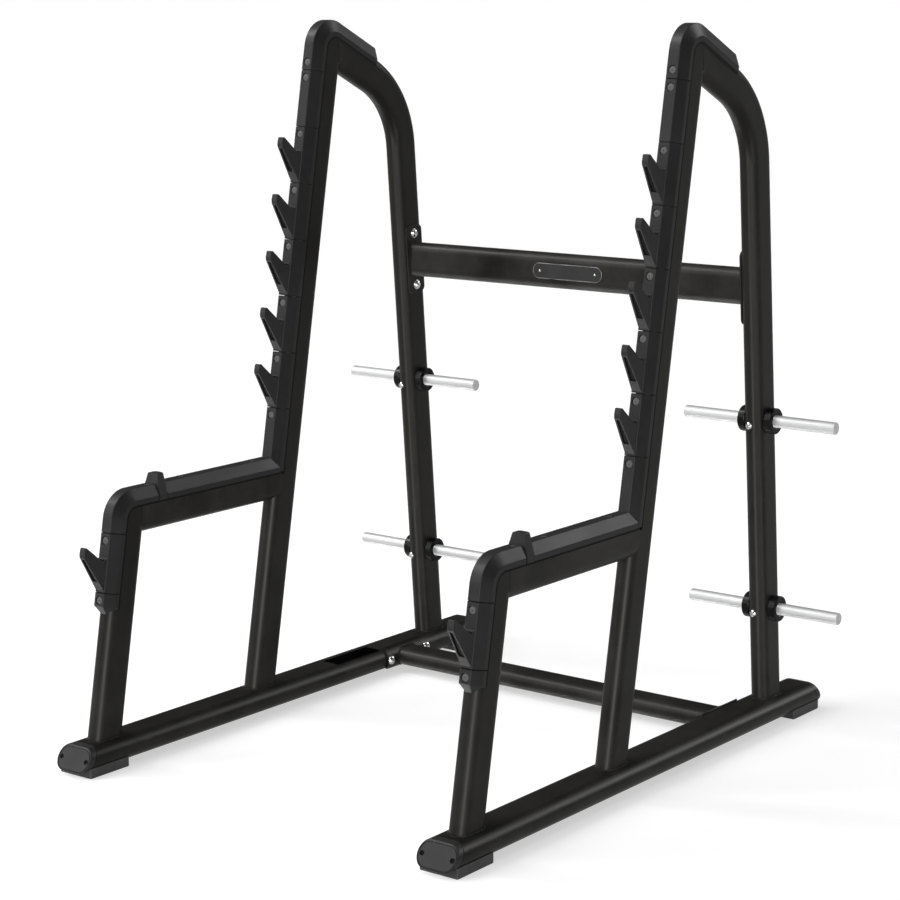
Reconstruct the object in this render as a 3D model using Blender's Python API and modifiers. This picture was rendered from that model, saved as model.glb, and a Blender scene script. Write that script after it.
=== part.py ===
"""Squat rack: two bent side frames of flat-oval tube, joined by two crossbeams.

The posts carry moulded covers, some with bar hooks, and each rear post has two plate horns.
Units are metres, X runs from the left frame to the right one, Y to the back and Z up.
The side frames are drawn once in the side plane (y, z) and placed at plus and minus X.
"""
import math

import bmesh
import bpy
from mathutils import Matrix, Vector

# Driving dimensions: the whole rack
frame_spacing = 1.110
gap = 0.0003
round_steps = 8
bend_steps = 10
turn_steps = 20
overrun = 0.010

# Base tubes lie flat on four feet, their ends and caps leaning back
base_half_length = 0.7813
base_width = 0.1102
base_height = 0.0596
base_clearance = 0.0130
base_wall = 0.003
end_lean = math.radians(29.3)
cap_length = 0.0199
cap_edge = ((0.0035, 0.0), (0.0010, 0.0010), (0.0, 0.0035))
cap_screw_x = 0.0412
cap_screw_radius = 0.0062
cap_screw_depth = 0.004
foot_width = 0.1044
foot_length = 0.1315
foot_height = 0.0255
foot_corner = 0.005
foot_overhang = 0.0152

# Posts, braces and steps are one size of flat-oval tube
tube_width = 0.051
tube_depth = 0.0942
tube_wall = 0.003
corner_radius = 0.056
upright_lean = math.radians(10.0)
upright_foot_y = -0.1257
upright_corner_z = 1.735
brace_slope = math.radians(24.75)
rear_lean = math.radians(5.1)
rear_foot_y = 0.6056
rear_bend_radius = 0.235
front_post_reach = 0.562

# Moulded covers clip over the front of the tubes
cover_rise = 0.0196
cover_face = 0.0296
cover_width = 0.0586
chamfer_depth = 0.0277
cover_depth = 0.0398
cover_pitch = 0.1465
cover_lip = 0.0192
cover_seam = 0.0007
hook_cover_count = 5
third_screw_z = 1.5105
step_below_screw = 0.129228
top_screw_rise = 0.0398
top_cover_lift = 0.0034
top_cover_reach = 0.2620
top_cover_end_lean = math.radians(10)
front_screw_below = 0.118086
step_screw_ys = (-0.4097, -0.1447)
corner_screw_inset = 0.0135
stop_front_y = -0.5155
stop_back_y = -0.4870
stop_rise = 0.0240
stop_face = 0.0320
stop_width = 0.0604
stop_lean = 0.0075
lower_cover_overlap = 0.0199
end_cover_face_drop = 0.0140
end_cover_side_drop = 0.0170
end_cover_nose_drop = 0.0335
end_cover_nose_half_width = 0.012
screw_recess_radius = 0.0102
screw_recess_depth = 0.0075

# Bar hooks, measured down from the screw and forward from the cover's face
hook_ledge = 0.0417
hook_trough = (0.0518, 0.0104)
hook_tip_back = (0.0174, 0.0661)
hook_tip_front = (0.0192, 0.0718)
hook_nose = (0.0343, 0.0732)
hook_chin = (0.0419, 0.0714)
hook_root = 0.1221
hook_root_half_width = 0.0146
hook_sink = 0.007
hook_heel = 0.001
hook_taper = 0.0817
hook_pocket_start = 0.0060
hook_pocket_end = 0.0790
hook_pocket_depth = 0.0055
hook_pocket_rim = 0.0045

# Plate horns
horn_radius = 0.0155
horn_length = 0.4334
horn_edge = 0.002
upper_horn_z = 0.8101
lower_horn_z = 0.3148
collar_radius = 0.0332
collar_height = 0.0225
collar_edge = 0.002
collar_mouth = 0.0035

# Crossbeams
upper_beam_z = 1.1492
upper_beam_height = 0.0936
beam_wall = 0.003
beam_plate_length = 0.187
beam_plate_width = 0.068
beam_plate_thickness = 0.004
beam_plate_corner = 0.015
lower_beam_y = 0.4375
lower_beam_z = 0.0420
lower_beam_depth = 0.088
lower_beam_height = 0.049
saddle_length = 0.185
saddle_thickness = 0.005
saddle_below = math.radians(52)
saddle_above = math.radians(75)
badge_length = 0.2185
badge_height = 0.041
badge_thickness = 0.0025
smooth_angle = math.radians(32)

# Worked out from the driving dimensions
base_top = base_clearance + base_height
base_middle = base_clearance + base_height / 2
tube_round = tube_width / 2
cover_gap_depth = cover_rise + tube_depth / 2
face_radius = corner_radius + cover_rise
up_post = Vector((math.sin(upright_lean), math.cos(upright_lean)))
down_brace = Vector((math.cos(brace_slope), -math.sin(brace_slope)))
down_rear = Vector((math.sin(rear_lean), -math.cos(rear_lean)))
backward = Vector((1, 0))
level = Vector((0, 1))


def inward(run):
    """The direction from a cover's face into the tube, for a path that climbs, goes back and comes down."""
    return Vector((run.y, -run.x))


def crossing(first, run, second, other):
    """Where the line through first along run meets the line through second along other."""
    turn = run.x * other.y - run.y * other.x
    apart = second - first
    return first + run * ((apart.x * other.y - apart.y * other.x) / turn)


# Reference lines in the side plane: the face of the covers on the upright, brace, front post and step
upright_foot = Vector((upright_foot_y, base_top))
upright_face = upright_foot - inward(up_post) * cover_gap_depth
upright_axis_top = upright_foot + up_post * ((upright_corner_z - base_top) / up_post.y)
brace_face = upright_axis_top - inward(down_brace) * cover_gap_depth
top_corner = crossing(upright_face, up_post, brace_face, down_brace)
front_face = upright_face - inward(up_post) * front_post_reach
third_screw = crossing(upright_face, up_post, Vector((0, third_screw_z)), backward)
lower_screw = third_screw - up_post * cover_pitch * hook_cover_count
step_top = lower_screw.y - step_below_screw
step_face = Vector((0, step_top + cover_rise))
step_corner = crossing(front_face, up_post, step_face, backward)
rear_foot = Vector((rear_foot_y, base_top))
brace_outer = brace_face + inward(down_brace) * cover_rise
rear_outer = rear_foot - inward(down_rear) * (tube_depth / 2)
rear_corner = crossing(brace_outer, down_brace, rear_outer, down_rear)
front_screw = step_corner - up_post * front_screw_below


def inner_corner(corner, before, after):
    """The point at the tube's inner side where two runs that share a corner meet."""
    depth = cover_rise + tube_depth
    return crossing(corner + inward(before) * depth, before, corner + inward(after) * depth, after)


top_seam = inner_corner(top_corner, up_post, down_brace)
step_seam = inner_corner(step_corner, up_post, backward)


def rear_axis_at(z):
    """The middle of the rear post at a height."""
    return crossing(rear_foot, down_rear, Vector((0, z)), backward)


# Paths: lists of functions that give the point of the path at a depth under its reference line

def straight_place(point, run):
    return lambda depth: point + inward(run) * depth


def bend_places(corner, before, after, radius):
    """Places round a corner. What lies deeper than the radius meets in a sharp mitre."""
    middle = (inward(before) + inward(after)).normalized()
    half = middle.dot(inward(before))
    centre = corner + middle * (radius / half)
    turn = inward(before).angle(inward(after))
    places = []
    for step in range(bend_steps + 1):
        outward = Matrix.Rotation(-turn * step / bend_steps, 2) @ -inward(before)

        def place(depth, outward=outward):
            if depth < radius:
                return centre + outward * (radius - depth)
            return centre + middle * ((depth - radius) / half)

        places.append(place)
    return places


def bent_path(points, radius):
    """A path through the points, its inner points rounded to the radius."""
    runs = [(end - start).normalized() for start, end in zip(points, points[1:])]
    places = [straight_place(points[0], runs[0])]
    for corner, before, after in zip(points[1:], runs, runs[1:]):
        places += bend_places(corner, before, after, radius)
    places.append(straight_place(points[-1], runs[-1]))
    return {"places": places, "first": runs[0], "last": runs[-1]}


def blended(high, low, depth_end):
    """A path that follows the high one at no depth and the low one from depth_end on."""
    def blend(high_place, low_place):
        return lambda depth: high_place(depth).lerp(low_place(depth), min(1.0, max(0.0, depth / depth_end)))

    places = [blend(*pair) for pair in zip(high["places"], low["places"])]
    return {"places": places, "first": low["first"], "last": low["last"]}


def plane_cut(through, normal):
    """A cut that slides each end point along its run to a plane."""
    return lambda x, depth, point, run: point + run * ((through - point).dot(normal) / run.dot(normal))


# Sections: pairs of outlines in (x, depth) that belong together point by point

def oval(width, depth, middle, steps=round_steps):
    """A flat oval with round ends, around depth middle."""
    radius = min(width, depth) / 2
    reach = Vector((max(width - depth, 0) / 2, max(depth - width, 0) / 2))
    tall = depth > width
    points = []
    for end in (1, -1):
        for step in range(steps + 1):
            angle = math.pi * step / steps - (0 if tall else math.pi / 2)
            point = Vector((math.cos(angle), math.sin(angle))) * radius * end
            points.append((point.x + reach.x * end, point.y + reach.y * end + middle))
    return points


def tube_section(shift=0.0):
    """Outer and inner outline of the flat-oval tube, its face at depth shift."""
    middle = shift + tube_depth / 2
    outer = oval(tube_width, tube_depth, middle)
    inner = oval(tube_width - 2 * tube_wall, tube_depth - 2 * tube_wall, middle)
    return outer, inner


def ray_hit(outline, centre, angle):
    """Where a ray from the centre at an angle crosses an open outline."""
    ray = Vector((math.cos(angle), -math.sin(angle)))
    for start, end in zip(outline, outline[1:]):
        start, end = Vector(start), Vector(end)
        side = end - start
        turn = ray.x * side.y - ray.y * side.x
        if abs(turn) < 1e-9:
            continue
        apart = start - centre
        along = (apart.x * side.y - apart.y * side.x) / turn
        share = (apart.x * ray.y - apart.y * ray.x) / turn
        if along > 0 and -1e-6 <= share <= 1 + 1e-6:
            return tuple(centre + ray * along)
    return outline[-1]


def cover_section(corners):
    """A cover's outer skin, through the corners, and its bed round the front of the tube."""
    centre = Vector((0, cover_rise + tube_round))
    bed_radius = tube_round + gap
    end_depth = corners[0][1]
    end_angle = math.asin((centre.y - end_depth) / bed_radius)
    angles = [math.pi * step / round_steps for step in range(1, round_steps)]
    angles += [math.atan2(centre.y - depth, x) for x, depth in corners[1:-1]]
    angles = sorted(angle for angle in angles if end_angle + 0.03 < angle < math.pi - end_angle - 0.03)
    skin = [corners[0]]
    bed = [(bed_radius * math.cos(end_angle), end_depth)]
    for angle in angles:
        skin.append(ray_hit(corners, centre, angle))
        bed.append((bed_radius * math.cos(angle), centre.y - bed_radius * math.sin(angle)))
    skin.append(corners[-1])
    bed.append((-bed[0][0], end_depth))
    return skin, bed


def mirrored(half):
    """An outline from its half at +X."""
    return half + [(-x, depth) for x, depth in reversed(half)]


cover_corners = mirrored([(cover_width / 2, cover_depth), (cover_width / 2, chamfer_depth), (cover_face / 2, 0)])
stop_corners = mirrored([(stop_width / 2, cover_depth), (stop_width / 2, chamfer_depth),
                         (stop_face / 2, -stop_rise)])


# Making meshes and objects

def finish_mesh(shape, name):
    """Weld, turn the faces outwards and shade the round parts smooth."""
    bmesh.ops.remove_doubles(shape, verts=shape.verts, dist=1e-6)
    bmesh.ops.recalc_face_normals(shape, faces=shape.faces)
    mesh = bpy.data.meshes.new(name)
    shape.to_mesh(mesh)
    shape.free()
    return shade(mesh)


def shade(mesh):
    mesh.shade_smooth()
    mesh.set_sharp_from_angle(angle=smooth_angle)
    return mesh


def sweep(name, section, path, start_cut=None, end_cut=None, closed=False, outer_path=None):
    """Loft a pair of outlines along a path, with both ends faced between the two outlines.

    The outer outline can follow a path of its own with as many places.
    """
    shape = bmesh.new()
    places = path["places"]
    rows = []
    for outline, route in zip(section, (outer_path or path, path)):
        grid = []
        for index, place in enumerate(route["places"]):
            row = []
            for x, depth in outline:
                point = place(depth)
                if index == 0 and start_cut:
                    point = start_cut(x, depth, point, path["first"])
                if index == len(places) - 1 and end_cut:
                    point = end_cut(x, depth, point, path["last"])
                row.append(shape.verts.new((x, point.x, point.y)))
            grid.append(row)
        rows.append(grid)
    outer, inner = rows
    count = len(section[0])
    spans = [(index, (index + 1) % count) for index in range(count if closed else count - 1)]
    for here, there in zip(range(len(places) - 1), range(1, len(places))):
        for left, right in spans:
            for grid in rows:
                shape.faces.new((grid[here][left], grid[here][right], grid[there][right], grid[there][left]))
        if not closed:
            for side in (0, -1):
                shape.faces.new((outer[here][side], inner[here][side], inner[there][side], outer[there][side]))
    for end in (0, -1):
        for left, right in spans:
            shape.faces.new((outer[end][left], outer[end][right], inner[end][right], inner[end][left]))
    return finish_mesh(shape, name)


def prism(name, points, half_width):
    """A side-plane outline made as thick as the half width gives at each point's forward reach."""
    shape = bmesh.new()
    sides = []
    for side in (-1, 1):
        corners = [hook_point(down, forward) for down, forward in points]
        widths = [half_width(forward) * side for down, forward in points]
        ring = [shape.verts.new((x, point.x, point.y)) for x, point in zip(widths, corners)]
        shape.faces.new(ring)
        sides.append(ring)
    left, right = sides
    for index in range(len(points)):
        after = (index + 1) % len(points)
        shape.faces.new((left[index], left[after], right[after], right[index]))
    return finish_mesh(shape, name)


def extrusion(name, outlines, thickness):
    """Flat outlines in X and Y, filled between them and made as thick as given along Z."""
    curve = bpy.data.curves.new(name, "CURVE")
    curve.dimensions = "2D"
    curve.fill_mode = "BOTH"
    curve.extrude = thickness / 2
    for outline in outlines:
        spline = curve.splines.new("POLY")
        spline.points.add(len(outline) - 1)
        for point, (x, y) in zip(spline.points, outline):
            point.co = (x, y, 0, 1)
        spline.use_cyclic_u = True
    holder = bpy.data.objects.new(name, curve)
    return baked(holder, name)


def baked(holder, name):
    """The evaluated mesh of an object, which is removed."""
    workshop.objects.link(holder)
    scene_state = bpy.context.evaluated_depsgraph_get()
    mesh = bpy.data.meshes.new_from_object(holder.evaluated_get(scene_state))
    bpy.data.objects.remove(holder)
    shape = bmesh.new()
    shape.from_mesh(mesh)
    bpy.data.meshes.remove(mesh)
    return finish_mesh(shape, name)


def joined(name, body, tools, operation):
    """The body's mesh after a Boolean with each tool mesh."""
    holder = bpy.data.objects.new(name, body)
    cutters = []
    for tool in tools:
        cutter = bpy.data.objects.new(name + "_cutter", tool)
        cutter.hide_render = True
        cutter.display_type = "WIRE"
        workshop.objects.link(cutter)
        cutters.append(cutter)
        boolean = holder.modifiers.new("boolean", "BOOLEAN")
        boolean.operation = operation
        boolean.solver = "EXACT"
        boolean.object = cutter
    mesh = baked(holder, name)
    for cutter in cutters:
        bpy.data.objects.remove(cutter)
    return mesh


def cylinder(name, radius, length, steps=turn_steps):
    """A round bar along Z, centred."""
    shape = bmesh.new()
    bmesh.ops.create_cone(shape, cap_ends=True, segments=steps, radius1=radius, radius2=radius, depth=length)
    return finish_mesh(shape, name)


def moved(mesh, place=(0, 0, 0), turn=None):
    """The mesh after a turn and a move."""
    matrix = Matrix.Translation(Vector(place))
    if turn is not None:
        matrix = matrix @ turn
    mesh.transform(matrix)
    return mesh


def material(name, colour, roughness, metallic):
    made = bpy.data.materials.new(name)
    made.use_nodes = True
    surface = made.node_tree.nodes["Principled BSDF"]
    surface.inputs["Base Color"].default_value = (*colour, 1)
    surface.inputs["Roughness"].default_value = roughness
    surface.inputs["Metallic"].default_value = metallic
    return made


def place_node(name, mesh, look, location=(0, 0, 0), rotation=(0, 0, 0)):
    """One named piece in the rack's collection, with a material of its own."""
    colour, roughness, metallic = look
    piece = bpy.data.objects.new(name, mesh)
    piece.location = location
    piece.rotation_euler = rotation
    rack.objects.link(piece)
    if not mesh.materials:
        mesh.materials.append(None)
    piece.material_slots[0].link = "OBJECT"
    piece.material_slots[0].material = material(name, colour, roughness, metallic)
    return piece


for old in list(bpy.data.objects):
    bpy.data.objects.remove(old)
rack = bpy.data.collections.new("squat_rack")
workshop = bpy.data.collections.new("cutters")
for collection in (rack, workshop):
    bpy.context.scene.collection.children.link(collection)

coat = ((0.035, 0.035, 0.033), 0.38, 0.4)
moulding = ((0.075, 0.076, 0.078), 0.6, 0.0)
steel = ((0.62, 0.62, 0.61), 0.18, 1.0)
gloss = ((0.02, 0.02, 0.02), 0.25, 0.0)
plate_metal = ((0.5, 0.5, 0.5), 0.35, 0.9)

turn_y_to_z = Matrix.Rotation(math.pi / 2, 4, "X")
turn_z_to_x = Matrix.Rotation(math.pi / 2, 4, "Y")
sides = {"left": -frame_spacing / 2, "right": frame_spacing / 2}


def place_pair(name, mesh, look, y=0.0, z=0.0):
    """The same piece in both side frames."""
    for side, x in sides.items():
        place_node(side + "_" + name, mesh, look, location=(x, y, z))


# Bent tubes of the side frames
tubes = tube_section(cover_rise)
on_base = plane_cut(Vector((0, base_top + gap)), level)


def solid_oval_along(name, start, end, section):
    """A full bar of an outline between two points of a reference line, used as a cutter."""
    run = (end - start).normalized()
    shape = bmesh.new()
    rings = []
    for point in (start, end):
        ring = [shape.verts.new((x, *(point + inward(run) * depth))) for x, depth in section]
        shape.faces.new(ring)
        rings.append(ring)
    count = len(section)
    for index in range(count):
        after = (index + 1) % count
        shape.faces.new((rings[0][index], rings[0][after], rings[1][after], rings[1][index]))
    return finish_mesh(shape, name)


def grown_tube(extra):
    """The tube's outer outline with clearance all round, at its depth under the covers."""
    return oval(tube_width + 2 * extra, tube_depth + 2 * extra, cover_rise + tube_depth / 2)


upright_path = bent_path([upright_face, top_corner, top_corner + down_brace * 0.3], face_radius)
upright_tube = sweep("upright", tubes, upright_path, on_base,
                     plane_cut(top_seam - backward * gap, backward), closed=True)
place_pair("upright", upright_tube, coat)

front_path = bent_path([front_face, step_corner, step_corner + backward * 0.3], face_radius)
front_tube = sweep("front_post", tubes, front_path, on_base,
                   plane_cut(step_seam - backward * gap, backward), closed=True)
place_pair("front_post", front_tube, coat)

step_end = crossing(upright_foot, up_post, Vector((0, step_top - tube_depth / 2)), backward)
step_run_start = Vector((step_seam.x, step_face.y))
step_path = bent_path([step_run_start, Vector((step_end.x, step_face.y))], face_radius)
step_run = sweep("step_tube", tubes, step_path, closed=True)
upright_bar = solid_oval_along("upright_bar", upright_face, upright_face + up_post, grown_tube(gap))
step_tube = joined("step_tube", step_run, [upright_bar], "DIFFERENCE")
place_pair("step_tube", step_tube, coat)

rear_path = bent_path([brace_outer + down_brace * (top_seam.x - brace_outer.x), rear_corner, rear_outer],
                      rear_bend_radius + tube_depth / 2)
rear_run = sweep("rear_post", tube_section(), rear_path, plane_cut(top_seam, backward), on_base, closed=True)
horn_places = {"upper": rear_axis_at(upper_horn_z), "lower": rear_axis_at(lower_horn_z)}
horn_cutters = []
for place in horn_places.values():
    bar = cylinder("horn_hole", horn_radius + gap, tube_width * 2)
    horn_cutters.append(moved(bar, (0, place.x, place.y), turn_z_to_x))
rear_tube = joined("rear_post", rear_run, horn_cutters, "DIFFERENCE")
place_pair("rear_post", rear_tube, coat)

# Base tubes, end caps and feet. The ends lean back: their top is nearer the middle than their foot.
base_section = (oval(base_width, base_height, base_height / 2),
                oval(base_width - 2 * base_wall, base_height - 2 * base_wall, base_height / 2))


def end_plane(end, reach):
    """A leaning plane across the base tube, through its middle line at the reach from the centre."""
    return Vector((end * reach, base_middle)), Vector((end, math.tan(end_lean)))


def base_tube():
    runs = [Vector((end * base_half_length, base_top)) for end in (-1, 1)]
    cuts = [plane_cut(*end_plane(end, base_half_length)) for end in (-1, 1)]
    return sweep("base_tube", base_section, bent_path(runs, face_radius), *cuts, closed=True)


def end_cap(end):
    """The moulded cap on a leaning end of the base tube, its edge rounded, with two screw recesses."""
    rings = [(0.0, base_half_length + gap)]
    rings += [(inset, base_half_length + cap_length - back) for inset, back in reversed(cap_edge)]
    shape = bmesh.new()
    made = []
    for inset, reach in rings:
        cut = plane_cut(*end_plane(end, reach))
        outline = oval(base_width - 2 * inset, base_height - 2 * inset, 0)
        places = [cut(x, depth, Vector((0, base_middle - depth)), backward) for x, depth in outline]
        made.append([shape.verts.new((x, place.x, place.y)) for (x, depth), place in zip(outline, places)])
    for before, after in zip(made, made[1:]):
        for index in range(len(before)):
            other = (index + 1) % len(before)
            shape.faces.new((before[index], before[other], after[other], after[index]))
    for ring in (made[0], made[-1]):
        shape.faces.new(ring)
    body = finish_mesh(shape, "end_cap")
    recesses = []
    middle, normal = end_plane(end, base_half_length + cap_length)
    turn = Vector((0, *normal)).to_track_quat("Z", "Y").to_matrix().to_4x4()
    for side in (-1, 1):
        hole = cylinder("cap_recess", cap_screw_radius, cap_screw_depth * 2, 16)
        recesses.append(moved(hole, (side * cap_screw_x, *middle), turn))
    return joined("end_cap", body, recesses, "DIFFERENCE")


def rounded_rectangle(width, length, radius, steps=3):
    """A rectangle with rounded corners."""
    points = []
    for quarter, (right, up) in enumerate(((1, 1), (-1, 1), (-1, -1), (1, -1))):
        for step in range(steps + 1):
            angle = math.pi / 2 * (quarter + step / steps)
            points.append((right * (width / 2 - radius) + radius * math.cos(angle),
                           up * (length / 2 - radius) + radius * math.sin(angle)))
    return points


def foot(end):
    """The moulded foot that cradles the base tube near one end."""
    outline = rounded_rectangle(foot_width, foot_length, foot_corner)
    middle = end * (base_half_length + foot_overhang - foot_length / 2)
    body = moved(extrusion("foot", [outline], foot_height), (0, middle, foot_height / 2))
    tube = extrusion("tube_bar", [oval(base_width + 2 * gap, base_height + 2 * gap, 0)], base_half_length * 4)
    return joined("foot", body, [moved(tube, (0, 0, base_middle), turn_y_to_z)], "DIFFERENCE")


place_pair("base_tube", base_tube(), coat)
for end_name, end in (("front", -1), ("back", 1)):
    place_pair(end_name + "_cap", end_cap(end), moulding)
    place_pair(end_name + "_foot", foot(end), moulding)

# Covers
cover = cover_section(cover_corners)


def screw_recess(point, run):
    """The round recess for a cover screw, square to the cover's face."""
    turn = Vector((0, *inward(run))).to_track_quat("Z", "Y").to_matrix().to_4x4()
    return moved(cylinder("screw_recess", screw_recess_radius, screw_recess_depth * 2, 16), (0, *point), turn)


def straight_cover(name, start, end, screw, start_cut=None, end_cut=None, section=cover):
    """A cover along a straight run, from start to end along its face, with its screw recess."""
    run = (end - start).normalized()
    path = bent_path([start + run * cover_seam / 2, end - run * cover_seam / 2], face_radius)
    body = sweep(name, section, path, start_cut, end_cut)
    if screw is None:
        return body
    return joined(name, body, [screw_recess(screw, run)], "DIFFERENCE")


def hook_point(down, forward):
    """A point of the hook's outline from its screw, in the side plane."""
    return -up_post * down - inward(up_post) * forward


def hook_half_width(forward):
    return hook_root_half_width - hook_taper * max(forward, 0)


def hook_cover():
    """A cover with a hook for the bar, its screw at the origin."""
    top = up_post * cover_lip
    bottom = top - up_post * cover_pitch
    body = straight_cover("hook_cover", bottom, top, None)
    ramp = (hook_trough[0] - hook_ledge) / hook_trough[1]
    under = (hook_root - hook_chin[0]) / hook_chin[1]
    outline = [(hook_ledge - hook_sink * ramp, -hook_sink), hook_trough, hook_tip_back, hook_tip_front,
               hook_nose, hook_chin, (hook_root + hook_heel * under, -hook_heel), (hook_root, -hook_sink)]
    horn = prism("hook", outline, hook_half_width)
    down = Vector((hook_root, 0)) - Vector(hook_chin)
    along = down.normalized()
    into = Vector((along.y, -along.x))
    pocket = []
    for distance, depth in ((hook_pocket_start, -overrun), (hook_pocket_end, -overrun),
                            (hook_pocket_end, hook_pocket_depth), (hook_pocket_start, hook_pocket_depth)):
        pocket.append(tuple(Vector(hook_chin) + along * distance + into * depth))
    hollow = prism("hook_pocket", pocket, lambda forward: hook_half_width(forward) - hook_pocket_rim)
    whole = joined("hook_cover", body, [horn], "UNION")
    return joined("hook_cover", whole, [hollow, screw_recess(Vector((0, 0)), up_post)], "DIFFERENCE")


hook_mesh = hook_cover()
for number in range(hook_cover_count):
    place = third_screw - up_post * cover_pitch * number
    place_pair("hook_cover_%d" % (number + 1), hook_mesh, moulding, place.x, place.y)
place_pair("front_hook_cover", hook_mesh, moulding, front_screw.x, front_screw.y)

plain_mesh = straight_cover("plain_cover", up_post * (cover_lip - cover_pitch), up_post * cover_lip, Vector((0, 0)))
plain_screw = third_screw + up_post * cover_pitch
place_pair("plain_cover", plain_mesh, moulding, plain_screw.x, plain_screw.y)

# The top cover turns the corner and ends on the brace, where its skin stands a little higher
top_joint = plain_screw + up_post * (cover_lip + cover_seam / 2)
top_screw = plain_screw + up_post * top_screw_rise
brace_end = top_corner + down_brace * top_cover_reach
lifted_end = brace_end - inward(down_brace) * top_cover_lift
lifted_corner = crossing(top_corner, up_post, lifted_end, down_brace)
end_normal = Matrix.Rotation(top_cover_end_lean, 2) @ down_brace
brace_cut = plane_cut(lifted_end, end_normal)
top_path = bent_path([top_joint, top_corner, brace_end], face_radius)
lifted_path = bent_path([top_joint, lifted_corner, lifted_end], face_radius)
top_body = sweep("top_cover", cover, top_path, end_cut=brace_cut,
                 outer_path=blended(lifted_path, top_path, cover_depth))
place_pair("top_cover", joined("top_cover", top_body, [screw_recess(top_screw, up_post)], "DIFFERENCE"), moulding)

# The lower cover meets the step and is notched round its tube
lower_top = lower_screw + up_post * (cover_lip - cover_seam / 2)
lower_end = plane_cut(Vector((0, step_top - lower_cover_overlap)), level)
lower_path = bent_path([lower_screw - up_post * cover_pitch, lower_top], face_radius)
lower_body = sweep("lower_cover", cover, lower_path, lower_end)
step_bar = solid_oval_along("step_bar", step_run_start, step_run_start - backward * step_seam.x, grown_tube(gap))
lower_mesh = joined("lower_cover", lower_body, [step_bar, screw_recess(lower_screw, up_post)], "DIFFERENCE")
place_pair("lower_cover", lower_mesh, moulding)

# The step cover runs from the stop to the lower cover, the corner cover from the stop down the front post
step_level = step_face.y
step_start = Vector((stop_back_y + cover_seam, step_level))
step_stop_at = crossing(upright_face, up_post, step_face, backward)
grown_cover = mirrored([(cover_width / 2 + gap, tube_depth), (cover_width / 2 + gap, chamfer_depth - gap),
                        (cover_face / 2 + gap, -gap)])
upright_shell = solid_oval_along("upright_shell", upright_face, upright_face + up_post, grown_cover)
step_cover_end = step_stop_at + backward * cover_depth
step_body = sweep("step_cover", cover, bent_path([step_start, step_cover_end], face_radius))
step_tools = [upright_shell] + [screw_recess(Vector((y, step_level)), backward) for y in step_screw_ys]
place_pair("step_cover", joined("step_cover", step_body, step_tools, "DIFFERENCE"), moulding)

front_joint = front_screw + up_post * (cover_lip + cover_seam / 2)
corner_end = Vector((stop_front_y - cover_seam, step_level))
corner_screw = Vector((stop_front_y - corner_screw_inset, step_level))
front_body = sweep("front_corner_cover", cover, bent_path([front_joint, step_corner, corner_end], face_radius))
front_mesh = joined("front_corner_cover", front_body, [screw_recess(corner_screw, backward)], "DIFFERENCE")
place_pair("front_corner_cover", front_mesh, moulding)


def stop_lean_cut(x, depth, point, run):
    """The front of the stop leans back towards its top."""
    share = (chamfer_depth - min(depth, chamfer_depth)) / (chamfer_depth + stop_rise)
    return point + run * stop_lean * share


stop_path = bent_path([Vector((stop_front_y, step_level)), Vector((stop_back_y, step_level))], face_radius)
place_pair("step_stop", sweep("step_stop", cover_section(stop_corners), stop_path, stop_lean_cut), moulding)


def end_cover_cut(x, depth, point, run):
    """The lower end of the front post's last cover: short at its face and sides, long at the tube's front."""
    if (x, depth) in cover_bed:
        share = (abs(x) - end_cover_nose_half_width) / (tube_round - end_cover_nose_half_width)
        share = min(1.0, max(0.0, share))
        drop = end_cover_nose_drop + (end_cover_side_drop - end_cover_nose_drop) * share
    else:
        share = min(1.0, depth / chamfer_depth)
        drop = end_cover_face_drop + (end_cover_side_drop - end_cover_face_drop) * share
    return point - run * drop


cover_bed = set(cover[1])
end_screw = front_screw - up_post * cover_pitch
end_top = end_screw + up_post * (cover_lip - cover_seam / 2)
end_body = sweep("front_end_cover", cover, bent_path([end_screw, end_top], face_radius), end_cover_cut)
end_mesh = joined("front_end_cover", end_body, [screw_recess(end_screw, up_post)], "DIFFERENCE")
place_pair("front_end_cover", end_mesh, moulding)


# Plate horns: a bar through each rear post, held by a collar on each side
def horn_bar():
    shape = bmesh.new()
    bmesh.ops.create_cone(shape, cap_ends=True, segments=turn_steps, radius1=horn_radius,
                          radius2=horn_radius, depth=horn_length)
    rims = [edge for edge in shape.edges if abs(edge.verts[0].co.z - edge.verts[1].co.z) < 1e-6]
    bmesh.ops.bevel(shape, geom=rims, offset=horn_edge, segments=2, affect="EDGES", profile=0.5)
    return moved(finish_mesh(shape, "horn_bar"), turn=turn_z_to_x)


def collar():
    """A plain ring round the bar with an eased outer edge and a dished mouth, its base at zero height."""
    bore = horn_radius + gap
    profile = [(bore + collar_mouth, collar_height), (collar_radius - collar_edge, collar_height),
               (collar_radius, collar_height - collar_edge), (collar_radius, 0), (bore, 0),
               (bore, collar_height - collar_mouth)]
    mesh = bpy.data.meshes.new("collar_profile")
    edges = [(index, (index + 1) % len(profile)) for index in range(len(profile))]
    mesh.from_pydata([(radius, 0, height) for radius, height in profile], edges, [])
    holder = bpy.data.objects.new("collar_profile", mesh)
    screw = holder.modifiers.new("turn", "SCREW")
    screw.axis = "Z"
    screw.steps = turn_steps
    screw.render_steps = turn_steps
    screw.use_merge_vertices = True
    screw.merge_threshold = 0.0001
    return baked(holder, "collar")


bar_mesh = horn_bar()
collar_mesh = collar()
for level_name, place in horn_places.items():
    place_pair(level_name + "_horn", bar_mesh, steel, place.x, place.y)
    for side, x in sides.items():
        for facing, sign in (("outer", 1 if x > 0 else -1), ("inner", -1 if x > 0 else 1)):
            start = x + sign * (tube_width / 2 + gap)
            place_node("%s_%s_%s_collar" % (side, level_name, facing), collar_mesh, gloss,
                       (start, place.x, place.y), (0, sign * math.pi / 2, 0))

# Crossbeams
post_side = frame_spacing / 2 - tube_width / 2 - gap


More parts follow.
